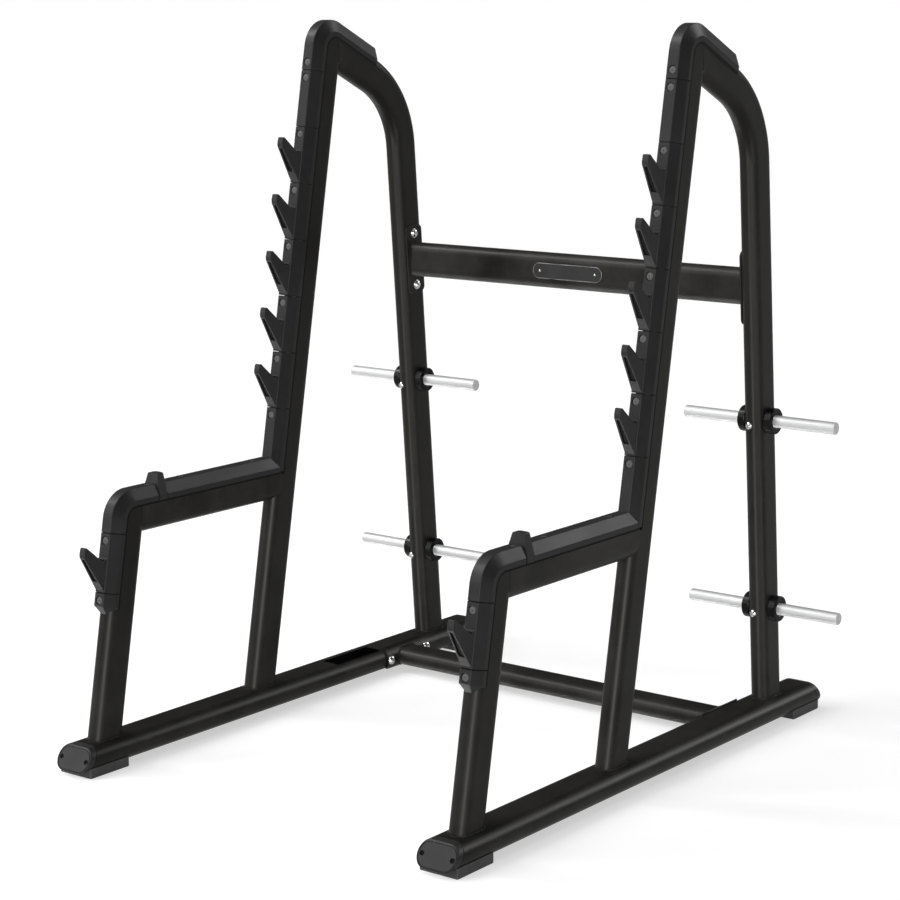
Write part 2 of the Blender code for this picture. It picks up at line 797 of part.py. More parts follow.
def upper_crossbeam():
    """The beam between the rear posts, open through a bolted plate at each end."""
    middle = rear_axis_at(upper_beam_z)
    length = 2 * (post_side - beam_plate_thickness / 2)
    section = oval(tube_width, upper_beam_height, 0)
    hollow = oval(tube_width - 2 * beam_wall, upper_beam_height - 2 * beam_wall, 0)
    upright_to_x = Matrix.Rotation(math.pi / 2, 4, "Z") @ Matrix.Rotation(math.pi / 2, 4, "X")
    place = (0, middle.x, middle.y)
    body = moved(extrusion("beam", [section], length), place, upright_to_x)
    plates = []
    outline = rounded_rectangle(beam_plate_width, beam_plate_length, beam_plate_corner)
    for sign in (-1, 1):
        plate = extrusion("beam_plate", [outline], beam_plate_thickness)
        turn = Matrix.Rotation(rear_lean, 4, "X") @ upright_to_x
        x = sign * (post_side - beam_plate_thickness / 2)
        plates.append(moved(plate, (x, middle.x, middle.y), turn))
    whole = joined("upper_crossbeam", body, plates, "UNION")
    bore = moved(extrusion("beam_bore", [hollow], frame_spacing), place, upright_to_x)
    return joined("upper_crossbeam", whole, [bore], "DIFFERENCE")


def saddle_outline():
    """The band that wraps the inner round side of a base tube, seen along the tube."""
    inner = base_height / 2 + gap
    outer = inner + saddle_thickness
    steps = 2 * round_steps
    angles = [step / steps * (saddle_below + saddle_above) - saddle_below for step in range(steps + 1)]
    band = [(outer * math.cos(angle), outer * math.sin(angle)) for angle in angles]
    band += [(inner * math.cos(angle), inner * math.sin(angle)) for angle in reversed(angles)]
    return band


def lower_crossbeam():
    """The beam between the base tubes, open through a saddle at each end."""
    round_middle = frame_spacing / 2 - (base_width - base_height) / 2
    reach = round_middle - base_height / 2 - gap
    section = oval(lower_beam_depth, lower_beam_height, 0)
    hollow = oval(lower_beam_depth - 2 * beam_wall, lower_beam_height - 2 * beam_wall, 0)
    flat_to_x = Matrix.Rotation(math.pi / 2, 4, "Z") @ Matrix.Rotation(math.pi / 2, 4, "X")
    place = (0, lower_beam_y, lower_beam_z)
    body = moved(extrusion("beam", [section], 2 * (reach - saddle_thickness / 2)), place, flat_to_x)
    saddles = []
    for sign in (-1, 1):
        band = extrusion("saddle", [saddle_outline()], saddle_length)
        turn = Matrix.Rotation(0 if sign < 0 else math.pi, 4, "Z") @ turn_y_to_z
        saddles.append(moved(band, (sign * round_middle, lower_beam_y, base_middle), turn))
    whole = joined("lower_crossbeam", body, saddles, "UNION")
    bore = moved(extrusion("beam_bore", [hollow], frame_spacing), place, flat_to_x)
    return joined("lower_crossbeam", whole, [bore], "DIFFERENCE")


def badge():
    """A blank plate with round ends on the front of the upper crossbeam."""
    middle = rear_axis_at(upper_beam_z)
    body = extrusion("badge_plate", [oval(badge_length, badge_height, 0)], badge_thickness)
    y = middle.x - tube_width / 2 - gap - badge_thickness / 2
    return moved(body, (0, y, middle.y), turn_y_to_z)


place_node("upper_crossbeam", upper_crossbeam(), coat)
place_node("lower_crossbeam", lower_crossbeam(), coat)
place_node("badge_plate", badge(), plate_metal)
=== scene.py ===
# Squat rack for the photograph's viewpoint.
# Two leaning side frames of flat-oval tube, moulded covers with bar hooks, plate horns and two crossbeams.
# Metres throughout. X runs from the left frame to the right one, Y to the back and Z up.
# Most pieces are drawn in the side plane (y, z), where depth runs from a cover's face into the tube.
import math
import bmesh
import bpy
import numpy as np
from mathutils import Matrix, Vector


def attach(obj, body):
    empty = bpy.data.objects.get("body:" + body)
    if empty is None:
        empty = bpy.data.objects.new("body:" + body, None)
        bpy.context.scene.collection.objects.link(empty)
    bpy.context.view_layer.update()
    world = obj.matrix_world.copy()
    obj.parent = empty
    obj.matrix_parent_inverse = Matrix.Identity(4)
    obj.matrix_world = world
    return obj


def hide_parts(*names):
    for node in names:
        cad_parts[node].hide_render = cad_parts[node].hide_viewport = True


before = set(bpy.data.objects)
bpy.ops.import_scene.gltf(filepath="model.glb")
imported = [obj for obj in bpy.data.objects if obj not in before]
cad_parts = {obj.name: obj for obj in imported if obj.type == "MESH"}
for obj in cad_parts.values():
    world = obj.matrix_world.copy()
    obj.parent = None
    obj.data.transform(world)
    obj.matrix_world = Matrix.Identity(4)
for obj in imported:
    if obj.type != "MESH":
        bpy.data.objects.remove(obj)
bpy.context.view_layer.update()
print("frame loaded:", len(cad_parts), "nodes")

scene = bpy.context.scene
scene.view_settings.view_transform = "Standard"


# A node with its settings and what feeds each input: in6 is input number 6, and _ stands for a space
def addNode(tree, kind, settings=None, **feeds):
    node = tree.nodes.new(kind)
    for key, value in (settings or {}).items():
        setattr(node, key, value)
    for key, value in feeds.items():
        numbered = key.startswith("in") and key[2:].isdigit()
        socket = node.inputs[int(key[2:]) if numbered else key.replace("_", " ")]
        if isinstance(value, bpy.types.NodeSocket):
            tree.links.new(value, socket)
        else:
            socket.default_value = value
    return node


# Two values multiplied
def timesNode(tree, first, second):
    return addNode(tree, "ShaderNodeMath", {"operation": "MULTIPLY"}, in0=first, in1=second).outputs[0]


# A value's range carried over to another range
def rangeNode(tree, value, given, wanted):
    return addNode(tree, "ShaderNodeMapRange", Value=value, in1=given[0], in2=given[1], in3=wanted[0],
                   in4=wanted[1]).outputs[0]


# A colour laid over another by a share; the one under may come from another node
def overNode(tree, share, under, over):
    if not isinstance(under, bpy.types.NodeSocket):
        under = (*under, 1)
    mix = addNode(tree, "ShaderNodeMix", {"data_type": "RGBA"}, Factor=share, in6=under, in7=(*over, 1))
    return mix.outputs[2]


# A grey: the same value three times
def grey(value):
    return (value, value, value)


# Camera, at the photograph's viewpoint
cameraSet = {"place": (3.54357, -4.69380, 1.85739), "yaw": 37.204, "pitch": -10.674, "roll": -0.040,
             "lens": 96.006, "sensor": 36.0}
cameraData = bpy.data.cameras.new("photoCamera")
cameraData.lens = cameraSet["lens"]
cameraData.sensor_width = cameraSet["sensor"]
camera = bpy.data.objects.new("photoCamera", cameraData)
camera.location = cameraSet["place"]
cameraTurns = 90 + cameraSet["pitch"], cameraSet["roll"], cameraSet["yaw"]
camera.rotation_euler = [math.radians(turn) for turn in cameraTurns]
scene.collection.objects.link(camera)
scene.camera = camera

# Soft studio light: even light from above and from the front left, sheen lamps that only show as streaks
# along the round sides, two strips on the left, and a room that is dark below and paler overhead
lightSet = {
    "room": (0.02, 0.26), "backdrop": 1.0,
    # Name, direction that it comes from, strength and spread in degrees
    "suns": [("skyLight", (-0.15, -0.10, 1.0), 0.85, 70.0), ("frontKey", (-0.50, -0.72, 0.50), 2.5, 40.0)],
    "sheens": [
        ("frontSheen", (0.67, -0.74, 0.06), 5.6, 24.0), ("lowSheenLeft", (0.10, -0.93, -0.35), 2.4, 8.0),
        ("lowSheenRight", (0.91, -0.23, -0.34), 1.2, 8.0), ("backSheen", (0.46, 0.80, 0.38), 1.7, 22.0),
        ("highSheen", (0.26, 0.76, 0.60), 0.3, 16.0), ("sideSheen", (0.88, 0.45, -0.16), 0.3, 6.0),
        ("floorSheen", (-0.58, 0.08, -0.80), 2.6, 20.0), ("topSheen", (-0.60, -0.34, 0.72), 2.4, 14.0)],
    # Name, place, aim, size and power
    "boxes": [("leftStrip", (-3.1, -3.4, 1.3), (0.0, 0.1, 0.9), (0.35, 2.6), 30),
              ("leftTop", (-3.0, -0.8, 4.2), (0.0, 0.2, 0.6), (0.5, 4.0), 60)],
}
world = bpy.data.worlds.new("whiteRoom")
world.use_nodes = True
roomTree = world.node_tree
seen = addNode(roomTree, "ShaderNodeLightPath").outputs["Is Camera Ray"]
direction = addNode(roomTree, "ShaderNodeTexCoord").outputs["Generated"]
height = addNode(roomTree, "ShaderNodeSeparateXYZ", in0=direction).outputs["Z"]
upward = rangeNode(roomTree, height, (0.0, 1.0), lightSet["room"])
strength = rangeNode(roomTree, seen, (0.0, 1.0), (upward, lightSet["backdrop"]))
background = roomTree.nodes["Background"]
background.inputs["Color"].default_value = (1.0, 1.0, 1.0, 1.0)
roomTree.links.new(strength, background.inputs["Strength"])
scene.world = world


# A lamp of one kind and the object that holds it
def addLamp(name, kind, energy):
    lamp = bpy.data.lights.new(name, kind)
    lamp.energy = energy
    holder = bpy.data.objects.new(name, lamp)
    scene.collection.objects.link(holder)
    return lamp, holder


for kind in ("suns", "sheens"):
    for name, source, energy, spread in lightSet[kind]:
        lamp, holder = addLamp(name, "SUN", energy)
        lamp.angle = math.radians(spread)
        lamp.use_shadow = kind == "suns"
        holder.visible_diffuse = kind == "suns"
        holder.rotation_euler = Vector(source).to_track_quat("Z", "Y").to_euler()
for name, place, aim, size, energy in lightSet["boxes"]:
    lamp, holder = addLamp(name, "AREA", energy)
    lamp.shape = "RECTANGLE"
    lamp.size, lamp.size_y = size
    holder.location = place
    holder.rotation_euler = (Vector(aim) - Vector(place)).to_track_quat("-Z", "Y").to_euler()
print("camera and lights placed")


# A node group with named sockets; build gets the tree and the group's input sockets
def newGroup(name, inputs, outputs, build):
    tree = bpy.data.node_groups.new(name, "ShaderNodeTree")
    for label, kind, value in inputs:
        tree.interface.new_socket(name=label, in_out="INPUT", socket_type=kind).default_value = value
    for label, kind in outputs:
        tree.interface.new_socket(name=label, in_out="OUTPUT", socket_type=kind)
    source = tree.nodes.new("NodeGroupInput")
    sink = tree.nodes.new("NodeGroupOutput")
    results = build(tree, source.outputs)
    for label, socket in results.items():
        tree.links.new(socket, sink.inputs[label])
    return tree


# Fine surface grain, as a bump height and bright flecks
grainSet = {"broadScale": 0.12, "broadShare": 0.35, "fleckReach": (0.0, 0.28), "fleckCut": 0.72}


# Height: fine noise mixed with a broad one. Flecks: the middles of a few cells
def buildGrain(tree, given):
    place = addNode(tree, "ShaderNodeTexCoord").outputs["Object"]
    fine = addNode(tree, "ShaderNodeTexNoise", Vector=place, Scale=given["Scale"], Detail=3.0,
                   Roughness=0.6)
    broadScale = timesNode(tree, given["Scale"], grainSet["broadScale"])
    broad = addNode(tree, "ShaderNodeTexNoise", Vector=place, Scale=broadScale, Detail=2.0)
    height = addNode(tree, "ShaderNodeMix", Factor=grainSet["broadShare"], A=fine.outputs[0],
                     B=broad.outputs[0])
    cells = addNode(tree, "ShaderNodeTexVoronoi", Vector=place, Scale=given["Scale"])
    fleck = rangeNode(tree, cells.outputs["Distance"], grainSet["fleckReach"], (1.0, 0.0))
    chosen = addNode(tree, "ShaderNodeSeparateColor", Color=cells.outputs["Color"])
    few = addNode(tree, "ShaderNodeMath", {"operation": "GREATER_THAN"}, in0=chosen.outputs[0],
                  in1=grainSet["fleckCut"])
    return {"Height": height.outputs[0], "Flecks": timesNode(tree, fleck, few.outputs[0])}


grainGroup = newGroup("surfaceGrain", [("Scale", "NodeSocketFloat", 700.0)],
                      [("Height", "NodeSocketFloat"), ("Flecks", "NodeSocketFloat")], buildGrain)

# Handling marks and painted edge highlights: broad soft patches, and a mask that is high on outer edges
wearAndHighlightSet = {"patchReach": (0.35, 0.7), "edgeReach": (0.52, 0.60)}


# Patches: noise stretched to 0..1. Edge wear and highlight: how far a point sticks out, stretched to 0..1, x
# patches
def buildWearAndEdgeHighlight(tree, given):
    place = addNode(tree, "ShaderNodeTexCoord").outputs["Object"]
    noise = addNode(tree, "ShaderNodeTexNoise", Vector=place, Scale=given["Patch Scale"], Detail=5.0,
                    Roughness=0.65)
    patches = rangeNode(tree, noise.outputs[0], wearAndHighlightSet["patchReach"], (0.0, 1.0))
    point = addNode(tree, "ShaderNodeNewGeometry").outputs["Pointiness"]
    edges = rangeNode(tree, point, wearAndHighlightSet["edgeReach"], (0.0, 1.0))
    return {"Patches": patches, "Edges": timesNode(tree, edges, patches)}


wearAndHighlightGroup = newGroup("handlingWearAndEdgeHighlight", [("Patch Scale", "NodeSocketFloat", 9.0)],
                     [("Patches", "NodeSocketFloat"), ("Edges", "NodeSocketFloat")], buildWearAndEdgeHighlight)


# Lines along X, Y or Z, for brushed and turned metal: noise squeezed along one direction
def buildBrush(tree, given):
    place = addNode(tree, "ShaderNodeTexCoord").outputs["Object"]
    squeezed = addNode(tree, "ShaderNodeVectorMath", {"operation": "MULTIPLY"}, in0=place,
                       in1=given["Stretch"])
    lines = addNode(tree, "ShaderNodeTexNoise", Vector=squeezed.outputs[0], Scale=1.0, Detail=4.0,
                    Roughness=0.7)
    return {"Lines": lines.outputs[0]}


brushGroup = newGroup("brushedLines", [("Stretch", "NodeSocketVector", (20.0, 900.0, 900.0))],
                      [("Lines", "NodeSocketFloat")], buildBrush)


# What a finish has where its own dictionary says nothing
plainLook = {"bumpDepth": 0.0003, "metal": 0.0, "specular": 0.5, "tint": grey(1.0)}


# A finish from one dictionary: base, patch, fleck and edge colours over each other by their masks, a
# roughness range over the patches, and a bump from the grain or the brushed lines. The edge colour is
# partly edge wear and partly a painted highlight on outer edges. The numbers of grain and patch are
# pattern scales.
def makeFinish(name, look):
    look = {**plainLook, **look}
    material = bpy.data.materials.new(name)
    material.use_nodes = True
    tree = material.node_tree
    shader = tree.nodes["Principled BSDF"]
    grain = addNode(tree, "ShaderNodeGroup", {"node_tree": grainGroup}, Scale=look["grain"])
    wearAndHighlight = addNode(tree, "ShaderNodeGroup", {"node_tree": wearAndHighlightGroup}, Patch_Scale=look["patch"])
    patches = wearAndHighlight.outputs["Patches"]
    colour = overNode(tree, patches, look["colour"], look["patchColour"])
    fleckShare = timesNode(tree, grain.outputs["Flecks"], look["fleckShare"])
    colour = overNode(tree, fleckShare, colour, look["fleckColour"])
    # Lighter outer edges: partly rubbed finish, partly a painted highlight where rounded edges catch light
    edgeWearHighlightShare = timesNode(tree, wearAndHighlight.outputs["Edges"], look["edgeWearHighlightShare"])
    colour = overNode(tree, edgeWearHighlightShare, colour, look["edgeWearHighlightColour"])
    tree.links.new(colour, shader.inputs["Base Color"])
    rough = rangeNode(tree, patches, (0.0, 1.0), look["rough"])
    height = grain.outputs["Height"]
    if "brush" in look:
        brush = addNode(tree, "ShaderNodeGroup", {"node_tree": brushGroup}, Stretch=look["brush"])
        height = brush.outputs["Lines"]
        rough = addNode(tree, "ShaderNodeMath", {"operation": "MULTIPLY_ADD"}, in0=height,
                        in1=look["brushRough"], in2=rough).outputs[0]
    tree.links.new(rough, shader.inputs["Roughness"])
    bump = addNode(tree, "ShaderNodeBump", Height=height, Strength=look["bump"], Distance=look["bumpDepth"])
    tree.links.new(bump.outputs[0], shader.inputs["Normal"])
    shader.inputs["Metallic"].default_value = look["metal"]
    shader.inputs["Specular IOR Level"].default_value = look["specular"]
    shader.inputs["Specular Tint"].default_value = (*look["tint"], 1)
    return material


finishes = {
    "tube": makeFinish("satinPowderCoat", {
        "colour": (0.0078, 0.0075, 0.0063), "patchColour": (0.0096, 0.0093, 0.0080),
        "fleckColour": (0.09, 0.086, 0.073), "edgeWearHighlightColour": (0.06, 0.058, 0.054), "fleckShare": 0.5,
        "edgeWearHighlightShare": 0.4, "grain": 900.0, "patch": 6.0, "rough": (0.37, 0.42), "bump": 0.25,
        "bumpDepth": 0.0004, "specular": 0.066, "tint": (1.0, 0.975, 0.92)}),
    "moulding": makeFinish("mouldedCharcoal", {
        "colour": (0.021, 0.021, 0.0212), "patchColour": (0.025, 0.025, 0.0252), "fleckColour": grey(0.07),
        "edgeWearHighlightColour": grey(0.10), "fleckShare": 0.25, "edgeWearHighlightShare": 0.35, "grain": 1500.0, "patch": 8.0,
        "rough": (0.34, 0.42), "bump": 0.35, "specular": 0.06}),
    "foot": makeFinish("paleRubber", {
        "colour": (0.040, 0.040, 0.0402), "patchColour": (0.045, 0.045, 0.0452), "fleckColour": grey(0.08),
        "edgeWearHighlightColour": grey(0.16), "fleckShare": 0.2, "edgeWearHighlightShare": 0.6, "grain": 1300.0, "patch": 10.0,
        "rough": (0.44, 0.52), "bump": 0.3, "specular": 0.12}),
    "horn": makeFinish("polishedSteel", {
        "colour": grey(0.34), "patchColour": (0.30, 0.30, 0.305), "fleckColour": grey(0.6),
        "edgeWearHighlightColour": grey(0.9), "fleckShare": 0.1, "edgeWearHighlightShare": 0.3, "grain": 900.0, "patch": 14.0,
        "rough": (0.48, 0.56), "bump": 0.08, "bumpDepth": 0.0002, "metal": 0.5,
        "brush": (1400.0, 30.0, 30.0), "brushRough": 0.10}),
    "collar": makeFinish("glossBlack", {
        "colour": grey(0.003), "patchColour": grey(0.004), "fleckColour": grey(0.03),
        "edgeWearHighlightColour": grey(0.05), "fleckShare": 0.15, "edgeWearHighlightShare": 0.3, "grain": 700.0, "patch": 10.0,
        "rough": (0.20, 0.28), "bump": 0.06, "specular": 0.05}),
    "badge": makeFinish("brushedPlate", {
        "colour": grey(0.024), "patchColour": grey(0.020), "fleckColour": grey(0.2),
        "edgeWearHighlightColour": grey(0.8), "fleckShare": 0.1, "edgeWearHighlightShare": 0.5, "grain": 800.0, "patch": 20.0,
        "rough": (0.30, 0.38), "bump": 0.15, "bumpDepth": 0.0002, "metal": 1.0,
        "brush": (12.0, 600.0, 900.0), "brushRough": 0.12}),
    "bolt": makeFinish("brightPlating", {
        "colour": (0.36, 0.36, 0.355), "patchColour": (0.31, 0.31, 0.305), "fleckColour": grey(0.55),
        "edgeWearHighlightColour": grey(0.9), "fleckShare": 0.15, "edgeWearHighlightShare": 0.4, "grain": 1200.0, "patch": 60.0,
        "rough": (0.16, 0.26), "bump": 0.08, "bumpDepth": 0.0002, "metal": 1.0}),
    "screw": makeFinish("dullPlating", {
        "colour": grey(0.064), "patchColour": grey(0.057), "fleckColour": grey(0.12),
        "edgeWearHighlightColour": grey(0.25), "fleckShare": 0.2, "edgeWearHighlightShare": 0.4, "grain": 1500.0, "patch": 90.0,
        "rough": (0.55, 0.62), "bump": 0.1, "bumpDepth": 0.0002, "metal": 0.1, "specular": 0.2}),
    "strip": makeFinish("blankStrip", {
        "colour": grey(0.0006), "patchColour": grey(0.0010), "fleckColour": grey(0.01),
        "edgeWearHighlightColour": grey(0.02), "fleckShare": 0.1, "edgeWearHighlightShare": 0.2, "grain": 400.0, "patch": 12.0,
        "rough": (0.60, 0.68), "bump": 0.04, "specular": 0.0}),
    # Painted shade: the lips behind and the seams between covers, the pocket floors and the cap screws are
    # this dark to stand for shade; the tubes' seam lines use it as dark joints
    "shadow": makeFinish("darkRubber", {
        "colour": grey(0.0018), "patchColour": grey(0.0024), "fleckColour": grey(0.01),
        "edgeWearHighlightColour": grey(0.006), "fleckShare": 0.1, "edgeWearHighlightShare": 0.2, "grain": 900.0, "patch": 20.0,
        "rough": (0.70, 0.80), "bump": 0.1, "specular": 0.05}),
}
print("finishes made:", len(finishes))


# A direction with the length 1
def unit(direction):
    return direction / np.linalg.norm(direction)


# The same for each row of directions
def unitRows(directions):
    return directions / np.linalg.norm(directions, axis=1)[:, None]


# From a cover's face into the tube: the run turned a quarter clockwise, seen from +X with Y to the right
def inwardOf(run):
    return np.array((run[1], -run[0]))


# Where the line through first along run meets the line through second along other: first + run x share
def crossing(first, run, second, other):
    turn = run[0] * other[1] - run[1] * other[0]
    apart = second - first
    return first + run * ((apart[0] * other[1] - apart[1] * other[0]) / turn)


# Rows of a path on a straight line: point + inward x depth
def straightRows(start, run, distances):
    distances = np.asarray(distances, float)
    count = len(distances)
    return {"point": start + distances[:, None] * run, "inward": np.tile(inwardOf(run), (count, 1)),
            "reach": np.full(count, np.inf), "deep": np.zeros((count, 2))}


# Rows round a corner: an arc down to the centre, and past the centre one shared mitre line
def bendRows(corner, before, after, radius, count):
    first, last = inwardOf(before), inwardOf(after)
    middle = unit(first + last)
    half = middle @ first
    centre = corner + middle * (radius / half)
    turn = math.acos(first @ last)
    angles = -np.linspace(0, turn, count + 1)
    outward = -np.stack((first[0] * np.cos(angles) - first[1] * np.sin(angles),
                         first[0] * np.sin(angles) + first[1] * np.cos(angles)), axis=1)
    return {"point": centre + outward * radius, "inward": -outward, "reach": np.full(count + 1, radius),
            "deep": np.tile(middle / half, (count + 1, 1))}


# Stretches of rows, one after another
def stackRows(*stretches):
    return {key: np.concatenate([stretch[key] for stretch in stretches]) for key in stretches[0]}


# A surface from rows and a section: point + inward x min(depth, reach) + deep x max(depth - reach, 0),
# with the section's across values as x
def sweepSection(rows, across, depth):
    count = len(rows["point"])
    across = np.broadcast_to(across, (count, across.shape[-1]))
    depth = np.broadcast_to(depth, (count, depth.shape[-1]))
    near = np.minimum(depth, rows["reach"][:, None])
    far = np.maximum(depth - rows["reach"][:, None], 0)
    side = (rows["point"][:, None] + rows["inward"][:, None] * near[..., None]
            + rows["deep"][:, None] * far[..., None])
    return np.concatenate((across[..., None], side), axis=2)


# Slides one row of a surface along the run until it lies in the plane through a point with a normal
def slideRow(surface, row, run, through, normal):
    side = surface[row, :, 1:]
    share = ((through - side) @ normal) / (run @ normal)
    surface[row, :, 1:] = side + share[:, None] * run


# Quads between neighbouring rows and columns, the last column joined to the first; keep picks some
def gridQuads(rowCount, columnCount, keep=slice(None)):
    index = np.arange(rowCount * columnCount).reshape(rowCount, columnCount)
    after = np.roll(index, -1, axis=1)
    quads = np.stack((index[:-1], after[:-1], after[1:], index[1:]), axis=-1)
    return quads[keep].reshape(-1, 4).tolist()


# A part from a surface whose columns close, with extra faces and the number of its look
def gridPart(surface, extra=(), look=0):
    faces = gridQuads(*surface.shape[:2]) + list(extra)
    return {"points": surface.reshape(-1, 3), "faces": faces, "look": look}


# A tube-like part: closed columns, both ends closed with one face each
def closedSweep(surface, look=0):
    rowCount, columnCount = surface.shape[:2]
    last = (rowCount - 1) * columnCount
    return gridPart(surface, [list(range(columnCount))[::-1], list(range(last, last + columnCount))], look)


# Oval with round ends, wide or tall: two half circles joined by straight runs
def ovalOutline(width, depth, steps=24, flats=4):
    radius = min(width, depth) / 2
    reach = abs(width - depth) / 2
    angle = np.linspace(-math.pi / 2, math.pi / 2, steps + 1)
    right = np.stack((reach + radius * np.cos(angle), radius * np.sin(angle)), axis=1)
    run = np.linspace(1, -1, flats + 1)[1:-1] * reach
    top = np.stack((run, np.full(len(run), radius)), axis=1)
    half = np.concatenate((right, top))
    outline = np.concatenate((half, -half))
    return outline if width >= depth else outline[:, ::-1] * (1, -1)


# Polyline with rounded corners: a quadratic arc from side to side of each corner
def roundedLine(corners, radii, steps):
    corners = np.asarray(corners, float)
    pieces = [corners[:1]]
    share = np.linspace(0, 1, steps + 1)[:, None]
    for before, corner, after, radius in zip(corners, corners[1:], corners[2:], radii):
        into, out = unit(corner - before), unit(after - corner)
        bend = math.acos(into @ out)
        length = radius * math.tan(bend / 2)
        start, end = corner - into * length, corner + out * length
        pieces.append((1 - share) ** 2 * start + 2 * share * (1 - share) * corner + share ** 2 * end)
    pieces.append(corners[-1:])
    return np.concatenate(pieces)


# Side-plane normals of an outline: the difference of a point's neighbours, turned a quarter clockwise
def outlineNormals(outline, closed=False):
    if closed:
        step = np.roll(outline, -1, axis=0) - np.roll(outline, 1, axis=0)
    else:
        step = np.gradient(outline, axis=0)
    step = unitRows(step)
    return np.stack((step[:, 1], -step[:, 0]), axis=1)


# A turned part: centre + radius x ring + height x axis, for each (radius, height) pair of a profile
def turnedPart(profile, centre, axis, steps):
    profile = np.asarray(profile, float)
    axis = unit(np.asarray(axis, float))
    helper = (0.0, 0.0, 1.0) if abs(axis[2]) < 0.9 else (1.0, 0.0, 0.0)
    first = unit(np.cross(axis, helper))
    second = np.cross(axis, first)
    angle = np.arange(steps) / steps * 2 * math.pi
    ring = np.cos(angle)[:, None] * first + np.sin(angle)[:, None] * second
    radius, height = profile[:, 0, None, None], profile[:, 1, None, None]
    surface = np.asarray(centre, float) + radius * ring + height * axis
    return gridPart(surface)


# A round recess in a flat window: rings from the window's border to the hole, down its wall, and its floor
def recessPart(border, centre, inward, radius, depth, ease):
    spoke = unitRows(border - centre)
    wall = centre + spoke * radius
    bottom = np.tile(centre + inward * depth, (len(border), 1))
    return gridPart(np.stack((border, wall + spoke * ease, wall + inward * ease, wall + inward * depth,
                              bottom)))


# A part with its points shifted
def moved(part, shift):
    return dict(part, points=part["points"] + np.asarray(shift, float))


meshSet = {"mergeReach": 1e-6, "sharpCorner": 32}


# One finished piece from its parts: merged, faces outwards, smooth with crisp corners
def makePiece(name, parts, looks, nodes=()):
    points, faces, marks, start = [], [], [], 0
    for part in parts:
        points.append(part["points"])
        faces += [[corner + start for corner in face] for face in part["faces"]]
        marks += [part["look"]] * len(part["faces"])
        start += len(part["points"])
    mesh = bpy.data.meshes.new(name)
    mesh.from_pydata(np.concatenate(points).tolist(), [], faces)
    mesh.polygons.foreach_set("material_index", marks)
    shape = bmesh.new()
    shape.from_mesh(mesh)
    bmesh.ops.remove_doubles(shape, verts=shape.verts, dist=meshSet["mergeReach"])
    bmesh.ops.recalc_face_normals(shape, faces=shape.faces)
    shape.to_mesh(mesh)
    shape.free()
    for look in looks:
        mesh.materials.append(finishes[look])
    mesh.shade_smooth()
    mesh.set_sharp_from_angle(angle=math.radians(meshSet["sharpCorner"]))
    piece = bpy.data.objects.new(name, mesh)
    scene.collection.objects.link(piece)
    weighted = piece.modifiers.new("flatFaces", "WEIGHTED_NORMAL")
    weighted.keep_sharp = True
    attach(piece, "root")
    if nodes:
        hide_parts(*nodes)


# The rack's lines. A face line is the covers' front, coverRise in front of the tube that they clip over
rackSet = {
    "spacing": 1.110, "baseTop": 0.0726, "baseMiddle": 0.0428, "tubeWidth": 0.051, "tubeDepth": 0.0942,
    "cornerRadius": 0.056, "coverRise": 0.0196, "uprightLean": 10.0, "uprightFootY": -0.1257,
    "uprightCornerZ": 1.735, "braceSlope": 24.75, "rearLean": 5.1, "rearFootY": 0.6056, "rearBend": 0.235,
    "frontReach": 0.562, "stepTop": 0.6599, "gap": 0.0003,
}
sides = {"left": -rackSet["spacing"] / 2, "right": rackSet["spacing"] / 2}
gap = rackSet["gap"]
tubeRound = rackSet["tubeWidth"] / 2
rise = rackSet["coverRise"]
faceToAxis = rise + rackSet["tubeDepth"] / 2
lean = math.radians(rackSet["uprightLean"])
upPost = np.array((math.sin(lean), math.cos(lean)))
slope = math.radians(rackSet["braceSlope"])
downBrace = np.array((math.cos(slope), -math.sin(slope)))
rearLean = math.radians(rackSet["rearLean"])
downRear = np.array((math.sin(rearLean), -math.cos(rearLean)))
backward = np.array((1.0, 0.0))
level = np.array((0.0, 1.0))
uprightFoot = np.array((rackSet["uprightFootY"], rackSet["baseTop"]))
uprightFace = uprightFoot - inwardOf(upPost) * faceToAxis
axisTop = uprightFoot + upPost * ((rackSet["uprightCornerZ"] - rackSet["baseTop"]) / upPost[1])
braceFace = axisTop - inwardOf(downBrace) * faceToAxis
topCorner = crossing(uprightFace, upPost, braceFace, downBrace)
frontFace = uprightFace - inwardOf(upPost) * rackSet["frontReach"]
stepFace = np.array((0.0, rackSet["stepTop"] + rise))
stepCorner = crossing(frontFace, upPost, stepFace, backward)
rearFoot = np.array((rackSet["rearFootY"], rackSet["baseTop"]))
braceOuter = braceFace + inwardOf(downBrace) * rise
rearOuter = rearFoot - inwardOf(downRear) * (rackSet["tubeDepth"] / 2)
rearCorner = crossing(braceOuter, downBrace, rearOuter, downRear)
faceRadius = rackSet["cornerRadius"] + rise


# Where two runs that share a corner meet at the tube's inner side
def innerCorner(corner, before, after):
    depth = rise + rackSet["tubeDepth"]
    return crossing(corner + inwardOf(before) * depth, before, corner + inwardOf(after) * depth, after)


topSeam = innerCorner(topCorner, upPost, downBrace)
stepSeam = innerCorner(stepCorner, upPost, backward)


# Middle of the rear post at a height: its middle line crossed with a level line
def rearAxisAt(height):
    return crossing(rearFoot, downRear, np.array((0.0, height)), backward)


# Tubes of the side frames
tubeSet = {"bendRows": 28, "rearBendRows": 40, "overrun": 0.3, "copeGap": 0.0005}
tubeOutline = ovalOutline(rackSet["tubeWidth"], rackSet["tubeDepth"])
tubeAcross = tubeOutline[:, 0]


